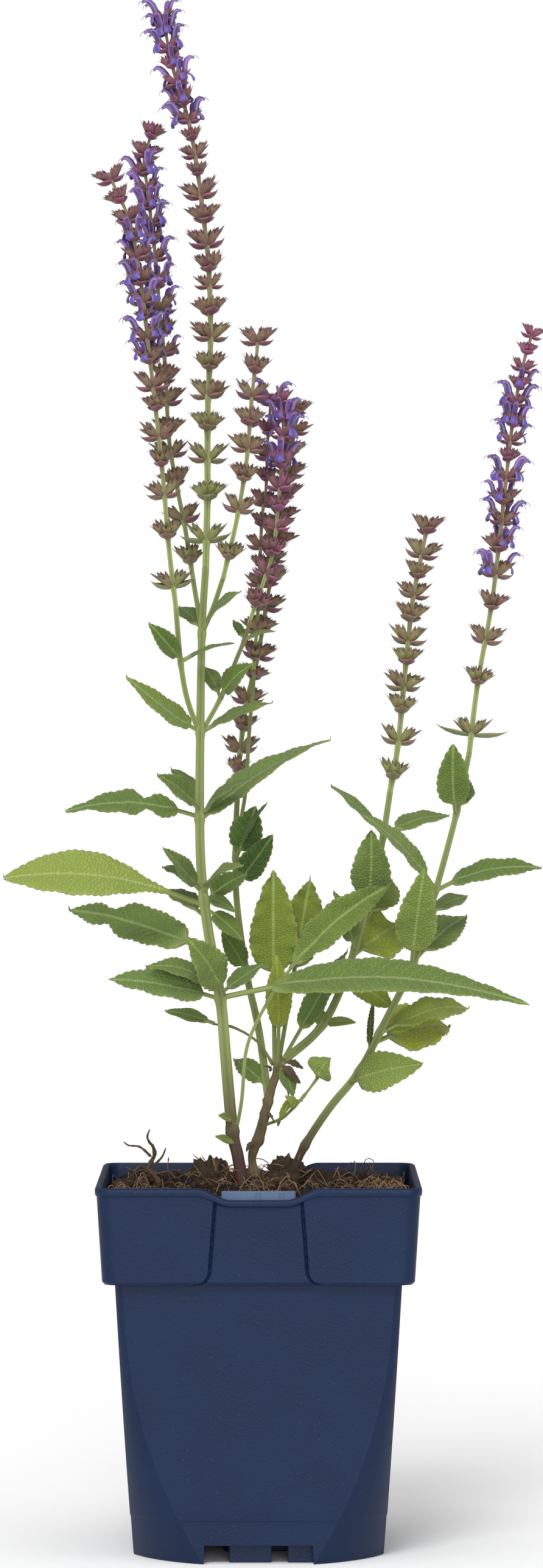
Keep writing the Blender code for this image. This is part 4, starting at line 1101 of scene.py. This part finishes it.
stem_shapes = {
    name: [stem(*row, *STEM_LOOKS[label]) for label, row in table.items()]
    for name, table in (("main", MAIN_STEMS), ("rear", REAR_STEMS), ("right", RIGHT_STEMS))
}
stem_shapes["rear"] += [scrap(*row) for row in SCRAPS] + [curled_leaf()]
for name, table, looks in (
    ("main", MAIN_LEAVES, MAIN_LOOKS), ("rear", REAR_LEAVES, REAR_LOOKS),
    ("right", RIGHT_LEAVES, RIGHT_LOOKS),
):
    shapes = stem_shapes[name] + leaves(table, looks)
    add_piece(f"leafy_stem_{name}", shapes, LEAF_SKIN, (f"stem_{name}",))


# Nine flower spikes top the stems. Each is a thin square rachis with rings of flowers: at each ring
# two pointed, cupped bracts face each other, turned a quarter from the ring below, and six ribbed
# calyces with sharp teeth stand above them. Violet flowers with a hood and a lip open near the top.

# The tones of a calyx run from green through brown to magenta, each at its place on a ramp.
CALYX_TONES = (
    (0.0, (112, 128, 66)), (0.28, (116, 104, 70)), (0.5, (112, 70, 70)), (0.75, (106, 50, 76)),
    (1.0, (142, 66, 112)),
)
STRIPE_GREEN = (150, 156, 96)
TOOTH_PURPLE = (78, 34, 50)
# Painted shade: the dark tone laid inside the hollow of each calyx cup.
HOLLOW_SHADE_PURPLE = (66, 40, 48)
NET_PURPLE = (72, 42, 48)
BRACT_RIM = (190, 142, 152)
RACHIS_GREENS = ((98, 118, 60), (152, 160, 98))
RACHIS_PURPLE = (132, 92, 90)
HOOD_VIOLETS = ((66, 34, 96), (110, 70, 142))
LIP_BLUES = ((62, 44, 124), (102, 82, 168))
PETAL_RIM = (168, 148, 212)

# Spikes: points along the rachis, its half widths at the two ends, the heights of the rings, the
# heights between which flowers are open, and the length of a calyx.
SPIKES = {
    "spike_tall": (
        ((-18.4, 0, 340.3), (-17.8, 0, 364), (-17.8, 0, 377), (-17.6, 0, 398), (-16.7, 0, 419),
         (-17.3, 0, 443), (-19, 0, 460), (-21.8, 0, 481), (-24.7, 0, 496), (-28.5, 0, 508),
         (-31.1, 0, 519), (-33.2, 0, 531.5)),
        1.3, 0.5,
        (349, 364, 377, 388, 399, 409, 419, 428, 437, 443, 451, 460, 468, 476, 482, 488, 494, 500,
         507, 513, 519, 525, 529.5),
        (493, 530), 6.3,
    ),
    "spike_left": (
        ((-28.6, -9, 325.8), (-30.9, -12, 346), (-33.1, -14, 372), (-36.2, -16, 401),
         (-38.1, -17, 417), (-40.2, -18, 436), (-43.9, -18, 457), (-48.5, -18, 468),
         (-51.7, -18, 475)),
        0.95, 0.5,
        (333, 350, 364, 375, 384, 394, 401, 410, 418, 425, 430, 437, 445, 452, 458, 465, 472),
        (409, 453), 6.0,
    ),
    "spike_back": (
        ((-22.9, 6, 336.3), (-25.9, 9, 355), (-28.5, 10, 368), (-31.3, 10, 385), (-32.7, 10, 411),
         (-34.4, 10, 428), (-36.1, 10, 449), (-39.1, 10, 474), (-40, 10, 481), (-37.2, 10, 492)),
        0.9, 0.5,
        (342, 356, 369, 379, 387, 397, 405, 414, 421, 429, 438, 447, 453, 459, 465, 471, 477, 483,
         490),
        (413, 478), 6.0,
    ),
    "spike_middle": (
        ((-12, -8, 337.3), (-7.4, -10, 357), (-4, -11, 378), (-2.5, -11, 397), (-0.6, -10, 414),
         (-0.6, -10, 419)),
        0.9, 0.6,
        (343, 359, 370, 380, 389, 398, 407, 417), (0, 0), 5.8,
    ),
    "spike_purple": (
        ((-2.8, 0, 322.3), (1, 0, 333), (4.8, 0, 345), (6.5, 0, 359), (7.8, 1, 376), (8.4, 2, 391),
         (6.3, 2, 403)),
        0.75, 0.5,
        (327, 337, 345, 353, 360, 367, 375, 385, 391, 397), (374, 392), 5.8,
    ),
    "spike_thin": (
        ((-1.8, 17, 304.9), (-0.3, 15, 326), (1, 15, 356), (2.5, 15, 368), (3.1, 15, 385),
         (4.4, 15, 400)),
        0.7, 0.5,
        (309, 318, 326, 334, 341, 347, 355, 362, 371, 378, 387, 397), (396, 398), 5.2,
    ),
    "spike_rear": (
        ((-7.4, 26, 264.3), (-6.9, 27, 273), (-4.4, 28, 293), (-0.5, 29, 309), (4.2, 30, 337),
         (9.1, 30, 365), (11.3, 30, 380), (14.3, 30, 399)),
        1.0, 0.5,
        (269, 276, 284, 293, 302, 309, 319, 326, 335, 343, 349, 358, 365, 373, 381, 388, 395),
        (0, 0), 5.8,
    ),
    "spike_green": (
        ((45.8, 12, 262.3), (48.6, 12, 279), (51.3, 12, 307), (53.7, 12, 329), (56.2, 12, 342),
         (58.8, 12, 355)),
        1.1, 0.7,
        (267, 279, 290, 298, 307, 314, 322, 330, 337, 344, 352.5), (0, 0), 6.2,
    ),
    "spike_right": (
        ((72.9, -4, 276.3), (75.8, -4, 300), (80.7, -4, 328), (84.1, -4, 357), (87.8, -4, 390),
         (91.2, -4, 409), (94.6, -4, 421)),
        1.0, 0.5,
        (282, 300, 314, 326, 337, 346, 355, 362, 370, 377, 383, 389, 396, 402, 408, 414, 419.5),
        (336, 403), 5.8,
    ),
}

# How purple each spike is at its foot and at its top, and how many of its calyces hold a flower.
SPIKE_LOOKS = {
    "spike_tall": (0.1, 0.9, 0.9), "spike_left": (0.3, 0.75, 0.95), "spike_back": (0.3, 0.85, 0.95),
    "spike_middle": (0.3, 0.6, 0.0), "spike_purple": (0.7, 0.95, 0.9), "spike_thin": (0.45, 0.8, 0.9),
    "spike_rear": (0.42, 0.62, 0.0), "spike_green": (0.15, 0.5, 0.0), "spike_right": (0.22, 0.95, 0.9),
}

# The lowest ring of these spikes has longer, leafy bracts at its sides, of this reach.
LEAFY_FEET = {"spike_tall": 8.9, "spike_left": 7.8, "spike_right": 12.5}


def calyx_form():
    """One calyx, a unit long and a unit wide at its mouth.

    Rings of ten points widen from its stalk to five sharp teeth and go back down inside. The two
    lower teeth are the longest, and the whole bends up by the square of the distance.
    """
    number = np.arange(10)
    turn = np.radians(number * 36.0 + 90.0)
    tooth = np.where(number % 2 == 0, np.where(np.sin(turn) < -0.5, 0.46, 0.3), 0.0)
    along = np.array([-0.02, 0.0, 0.18, 0.42, 0.66, 0.84, 0.70, 0.42, 0.40])[:, None]
    radius = np.array([0.0, 0.2, 0.72, 0.98, 1.0, 1.1, 0.86, 0.45, 0.0])[:, None]
    mouth = np.array([0, 0, 0, 0, 0, 1.0, 0, 0, 0])[:, None]
    inner = np.array([0, 0, 0, 0, 0, 0, 1.0, 1, 1])[:, None]
    z = along + mouth * (tooth - 0.10 * np.sin(turn))
    r = radius * (1.0 + 0.12 * mouth * (tooth > 0.3))
    points = np.stack([r * np.cos(turn) * 0.92, r * np.sin(turn) + 0.12 * z ** 2, z], axis=-1)
    return grid_shape(
        points, rib=number[None] % 2 * 1.0, inner=inner, tooth=mouth * (tooth > 0),
        across=number[None] * 0.6, along=along * 6.0,
    )


def bract_form():
    """One bract, a unit long: a thin blade cupped by a square across and turned up by a cube along."""
    s = np.array([0.0, 0.04, 0.2, 0.42, 0.66, 0.85, 1.0])[:, None]
    angle = np.linspace(0, 2 * math.pi, 8, endpoint=False)[None]
    u, face = -np.cos(angle), np.sin(angle)
    half = np.array([0.0, 0.2, 0.40, 0.45, 0.29, 0.09, 0.0])[:, None]
    thin = np.array([0.0, 1.0, 1.0, 1.0, 1.0, 0.7, 0.0])[:, None] * 0.035
    height = 0.62 * half * u ** 2 + thin * face - 0.16 * np.sin(math.pi * s) + 0.14 * s ** 3
    points = np.stack([u * half, height, np.broadcast_to(s, height.shape)], axis=-1)
    return grid_shape(
        points, across=np.abs(u) * half * 6.0, along=s * 6.0, edge=np.abs(u),
        under=(face < -1e-6) * 1.0,
    )


def ribbon(path, halves, thick, cup, columns, blue):
    """A strip along a path of outward and upward steps.

    It is flat across, cupped by the square of the distance from its middle, and drawn in to a point
    at both ends.
    """
    path = np.array(path, float)
    ahead = unit(np.gradient(path, axis=0))
    above = np.column_stack([-ahead[:, 1], ahead[:, 0]])
    angle = np.linspace(0, 2 * math.pi, columns, endpoint=False)[None]
    u, face = -np.cos(angle), np.sin(angle)
    half = np.array(halves)[:, None]
    lift = cup * half * u ** 2 + np.array(thick)[:, None] * face
    points = np.stack([
        u * half, path[:, 1:] + above[:, 1:] * lift, path[:, :1] + above[:, :1] * lift
    ], axis=-1)
    return grid_shape(points, edge=np.abs(u), blue=blue)


def flower_forms():
    """The hood, the lower lip and the thread of a style, each a ribbon from the mouth of the calyx."""
    hood = ribbon(
        [(-1.5, -1.5), (-0.4, -0.3), (0.3, 1.3), (0.8, 2.8), (1.7, 4.1), (2.9, 4.7), (4.0, 4.3),
         (4.5, 3.6)],
        [0.0, 0.8, 0.95, 1.0, 1.05, 0.95, 0.6, 0.0], [0.0, 0.85, 0.95, 0.95, 0.85, 0.7, 0.5, 0.0],
        cup=-0.35, columns=8, blue=0.0,
    )
    lip = ribbon(
        [(-0.6, -0.8), (0.5, -0.2), (1.4, -0.5), (2.1, -1.4), (2.5, -2.4), (2.4, -3.2), (2.2, -3.5)],
        [0.0, 0.65, 1.2, 1.25, 1.75, 1.4, 0.0], [0.0, 0.4, 0.25, 0.2, 0.2, 0.15, 0.0],
        cup=-0.35, columns=8, blue=1.0,
    )
    style = ribbon(
        [(3.0, 4.1), (4.2, 4.6), (5.2, 4.3), (5.8, 3.4), (5.9, 2.9)],
        [0.0, 0.1, 0.1, 0.08, 0.0], [0.0, 0.1, 0.1, 0.08, 0.0],
        cup=0.0, columns=4, blue=0.3,
    )
    return hood, lip, style


def placed(form, origins, side, up, ahead, scale, **marks):
    """Copies of one form: each point is its origin plus its three parts along three directions."""
    count, size = len(origins), len(form["points"])
    x, y, z = form["points"].T
    scale = np.broadcast_to(np.reshape(scale, (count, -1)), (count, 3))
    points = origins[:, None] + side[:, None] * (scale[:, :1] * x)[..., None]
    points = points + up[:, None] * (scale[:, 1:2] * y)[..., None]
    points = points + ahead[:, None] * (scale[:, 2:] * z)[..., None]
    quads = form["quads"][None] + np.arange(count)[:, None, None] * size
    full = {name: np.tile(value, count) for name, value in form["marks"].items()}
    full.update({name: np.repeat(value, size) for name, value in marks.items()})
    return {"points": points.reshape(-1, 3), "quads": quads.reshape(-1, 4), "marks": full}


def whorl_places(points, whorls):
    """For each ring of flowers: its middle, the rachis direction, right, back, and its size."""
    path = smooth_line(points, 1.0)
    tangent = unit(np.gradient(path, axis=0))
    heights = path[:, 2]
    z = np.array(whorls, float)
    middle = np.column_stack([np.interp(z, heights, path[:, k]) for k in range(3)])
    ahead = unit(np.column_stack([np.interp(z, heights, tangent[:, k]) for k in range(3)]))
    side = unit(np.cross(np.array([0.0, 1.0, 0.0]), ahead))
    gaps = np.append(np.diff(z), z[-1] - z[-2])
    return middle, ahead, side, np.cross(ahead, side), np.clip(gaps / 8.0, 0.55, 1.0)


def leaning(outward, tangent, degrees):
    """The direction raised from outward towards the rachis direction, and the one square to it."""
    rise = np.radians(degrees)[:, None]
    ahead = outward * np.cos(rise) + tangent * np.sin(rise)
    return ahead, tangent * np.cos(rise) - outward * np.sin(rise)


CALYX, BRACT = calyx_form(), bract_form()
FLOWER_FORMS = flower_forms()
# The middle calyx of each side faces outwards and the other two stand this far round from it.
FANS = (-43.0, 0.0, 43.0)


def petals(mouths, outward, tangent):
    """The hood, lip and style of each open flower, which differ a little in size and tone."""
    grown = rng.uniform(0.8, 1.06, len(mouths))
    flat = np.cross(tangent, outward)
    return [
        placed(form, mouths, flat, tangent, outward, grown, tone=rng.uniform(0, 1, len(mouths)))
        for form in FLOWER_FORMS
    ]


def spike(name, points, half_foot, half_top, whorls, open_between, reach):
    """The shapes of one spike and of its flowers, placed on all its rings at once as whole arrays."""
    hue_foot, hue_top, chance = SPIKE_LOOKS[name]
    middle, tangent, right, back, size = whorl_places(points, whorls)
    count = len(whorls)
    share = (middle[:, 2] - points[0][2]) / (points[-1][2] - points[0][2])
    hue = hue_foot + (hue_top - hue_foot) * share
    half = (half_foot + (half_top - half_foot) * share)[:, None]
    first, second = np.array(points[:2], float)
    sunk_foot = tuple(first + 2.0 * unit(first - second))
    shapes = [stem((sunk_foot,) + points, half_foot, half_top, 0.0, hue_top, joints=whorls)]
    flowers = []
    turned = (np.arange(count) + (name in LEAFY_FEET)) % 2
    swing = rng.uniform(-0.42, 0.42, count) * (np.arange(count) > 0)
    in_bloom = (middle[:, 2] >= open_between[0]) & (middle[:, 2] <= open_between[1])
    for way in (0, 1):
        quarter = math.pi * way + turned * math.pi / 2 - math.pi / 2 + swing
        for fan in FANS:
            angle = quarter + np.radians(fan + rng.uniform(-8, 8, count))
            outward = right * np.cos(angle)[:, None] + back * np.sin(angle)[:, None]
            ahead, up = leaning(outward, tangent, rng.uniform(34, 52, count) + 4 * (fan == 0))
            origin = middle + outward * half * 0.6 + tangent * (0.4 * size)[:, None]
            length = reach * size * rng.uniform(0.9, 1.08, count)
            mouth = 1.38 * size * rng.uniform(0.88, 1.14, count)
            tint = np.clip(hue + rng.uniform(-0.12, 0.12, count), 0, 1)
            scale = np.column_stack([mouth, mouth, length])
            shapes.append(placed(CALYX, origin, np.cross(up, ahead), up, ahead, scale, hue=tint))
            opened = in_bloom & (rng.random(count) < (chance if fan == 0 else chance * 0.6))
            if opened.any():
                mouths = origin + ahead * length[:, None] * 0.86
                flowers += petals(mouths[opened], outward[opened], tangent[opened])
        outward = right * np.cos(quarter)[:, None] + back * np.sin(quarter)[:, None]
        ahead, up = leaning(outward, tangent, rng.uniform(6, 24, count))
        origin = middle + outward * half * 0.7 - tangent * (0.5 * size)[:, None]
        length = reach * size * rng.uniform(0.98, 1.1, count)
        broad = length * 0.98
        tint = np.clip(hue + rng.uniform(-0.1, 0.14, count), 0, 1)
        if name in LEAFY_FEET:
            length[0], tint[0] = LEAFY_FEET[name], 0.02
        scale = np.column_stack([broad, broad, length])
        shapes.append(placed(
            BRACT, origin, np.cross(up, ahead), up, ahead, scale, hue=tint, leafy=np.ones(count),
        ))
    return shapes, flowers


def calyx_skin():
    """Matt calyces, bracts and rachis: green, purple brown or magenta by their mark.

    Calyces have greener stripes, dark teeth and painted shade darkening their hollow. Bracts have a
    dark net and a pale rim.
    """
    material, tree, shader = start_material("calyx_and_bract_skin", 0.55, 0.35, 0.15)
    _, net, height = veins(tree, 1.4, 0.7)
    cloud, _ = spots(tree, 0.003, 0.002)
    hue, leafy = mark(tree, "hue"), mark(tree, "leafy")
    ramp = add_node(tree, "ShaderNodeValToRGB", {
        "Fac": maths(tree, "MULTIPLY_ADD", cloud, 0.3, maths(tree, "SUBTRACT", hue, 0.15))
    })
    stops = ramp.color_ramp.elements
    for place, _ in CALYX_TONES[1:-1]:
        stops.new(place)
    for stop, (_, tone) in zip(stops, CALYX_TONES):
        stop.color = linear(tone)
    base = ramp.outputs["Color"]
    wave = maths(tree, "COSINE", maths(tree, "MULTIPLY", mark(tree, "rib"), 3.0 * math.pi))
    stripe = maths(tree, "MULTIPLY_ADD", wave, -0.5, 0.5)
    stripe = maths(tree, "MULTIPLY", stripe, maths(tree, "SUBTRACT", 1.3, hue))
    rim = maths(tree, "MULTIPLY", maths(tree, "POWER", mark(tree, "edge"), 9.0), leafy)
    stalk = blend(tree, mark(tree, "edge"), *RACHIS_GREENS)
    skin = layered(tree, base, (
        (stripe, blend(tree, 0.55, base, STRIPE_GREEN)),
        (partly(tree, mark(tree, "tooth"), 0.6), TOOTH_PURPLE),
        (partly(tree, maths(tree, "MULTIPLY", net, leafy), 0.4), NET_PURPLE),
        (partly(tree, rim, 0.5), BRACT_RIM),
        # Painted shade: the inside of each calyx is darkened where shade falls in its hollow.
        (partly(tree, mark(tree, "inner"), 0.6), HOLLOW_SHADE_PURPLE),
        (mark(tree, "stem"), blend(tree, hue, stalk, RACHIS_PURPLE)),
    ))
    tree.links.new(skin, shader.inputs["Base Color"])
    add_bump(tree, shader, height, 0.35, 0.0004)
    return material


def petal_skin():
    """Thin violet petals, bluer on the lip and paler along their edges."""
    material, tree, shader = start_material("violet_petal", 0.5, 0.5, 0.2)
    cloud, _ = spots(tree, 0.0025, 0.002)
    violet = blend(tree, mark(tree, "tone"), *HOOD_VIOLETS)
    petal = blend(tree, mark(tree, "blue"), violet, blend(tree, cloud, *LIP_BLUES))
    rim = partly(tree, maths(tree, "POWER", mark(tree, "edge"), 5.0), 0.6)
    tree.links.new(blend(tree, rim, petal, PETAL_RIM), shader.inputs["Base Color"])
    return material


CALYX_SKIN = calyx_skin()
all_flowers = []
for spike_name, row in SPIKES.items():
    spike_shapes, spike_flowers = spike(spike_name, *row)
    add_piece(f"{spike_name}_calyces", spike_shapes, CALYX_SKIN, (spike_name,))
    all_flowers += spike_flowers
add_piece("open_flowers", all_flowers, petal_skin())


# The stage: a wide pale floor under a plain white sky, two soft suns from the front and one from
# above, and the camera two metres in front of the plant, where the photograph was taken from.
FLOOR_REACH = 60.0
FLOOR_TONE = 0.95
SKY_BACK = 0.32
SKY_FRONT = 0.8
SKY_SEEN = 1.0
# For each sun: its strength, and its width, tilt and turn in degrees.
SUNS = {
    "key_sun": (1.5, 20, 45, -14), "front_sun": (0.9, 22, 80, 4), "top_sun": (0.65, 40, 10, 0),
}
# The camera looks down by the drop, in degrees, and its lens is given for a sensor 36 mm high.
CAMERA_PLACE = (0.0044, -2.0, 0.294)
CAMERA_DROP = 0.835
CAMERA_LENS = 132.4
CAMERA_SENSOR = 36.0


def pale_floor():
    """A flat square of floor, wide enough to reach the horizon on every side."""
    far = FLOOR_REACH
    corners = [(-far, -far, 0), (far, -far, 0), (far, far, 0), (-far, far, 0)]
    mesh = bpy.data.meshes.new("pale_floor")
    mesh.from_pydata(corners, [], [(0, 1, 2, 3)])
    material, _, shader = start_material("pale_floor", 0.95, 0.0)
    shader.inputs["Base Color"].default_value = (FLOOR_TONE, FLOOR_TONE, FLOOR_TONE, 1.0)
    mesh.materials.append(material)
    floor = bpy.data.objects.new("pale_floor", mesh)
    bpy.context.scene.collection.objects.link(floor)
    return floor


def soft_sky():
    """A white sky that lights more from the front. The camera sees it even, in the floor's tone."""
    world = bpy.data.worlds.new("soft_sky")
    world.use_nodes = True
    tree = world.node_tree
    tree.nodes.clear()
    parts = add_node(tree, "ShaderNodeSeparateXYZ", {
        0: add_node(tree, "ShaderNodeTexCoord").outputs["Generated"]
    })
    front = add_node(tree, "ShaderNodeMapRange", {
        "Value": parts.outputs["Y"], "From Min": 0.25, "From Max": -0.75,
        "To Min": SKY_BACK, "To Max": SKY_FRONT,
    })
    white = (1.0, 1.0, 1.0, 1.0)
    lit = add_node(tree, "ShaderNodeBackground", {"Color": white, "Strength": front.outputs[0]})
    shown = add_node(tree, "ShaderNodeBackground", {"Color": white, "Strength": SKY_SEEN})
    mixed = add_node(tree, "ShaderNodeMixShader", {
        0: add_node(tree, "ShaderNodeLightPath").outputs["Is Camera Ray"],
        1: lit.outputs[0], 2: shown.outputs[0],
    })
    add_node(tree, "ShaderNodeOutputWorld", {"Surface": mixed.outputs[0]})
    return world


pale_floor()
bpy.context.scene.world = soft_sky()
for label, (strength, width, tilt, turn) in SUNS.items():
    sun = bpy.data.lights.new(label, "SUN")
    sun.energy = strength
    sun.angle = math.radians(width)
    sun_object = bpy.data.objects.new(label, sun)
    sun_object.rotation_euler = (math.radians(tilt), 0.0, math.radians(turn))
    bpy.context.scene.collection.objects.link(sun_object)
camera = bpy.data.cameras.new("camera")
camera.lens = CAMERA_LENS
camera.sensor_width = CAMERA_SENSOR
camera.clip_end = 300.0
camera_object = bpy.data.objects.new("camera", camera)
camera_object.location = CAMERA_PLACE
camera_object.rotation_euler = (math.radians(90 - CAMERA_DROP), 0.0, 0.0)
bpy.context.scene.collection.objects.link(camera_object)
bpy.context.scene.camera = camera_object
bpy.context.scene.view_settings.view_transform = "Standard"
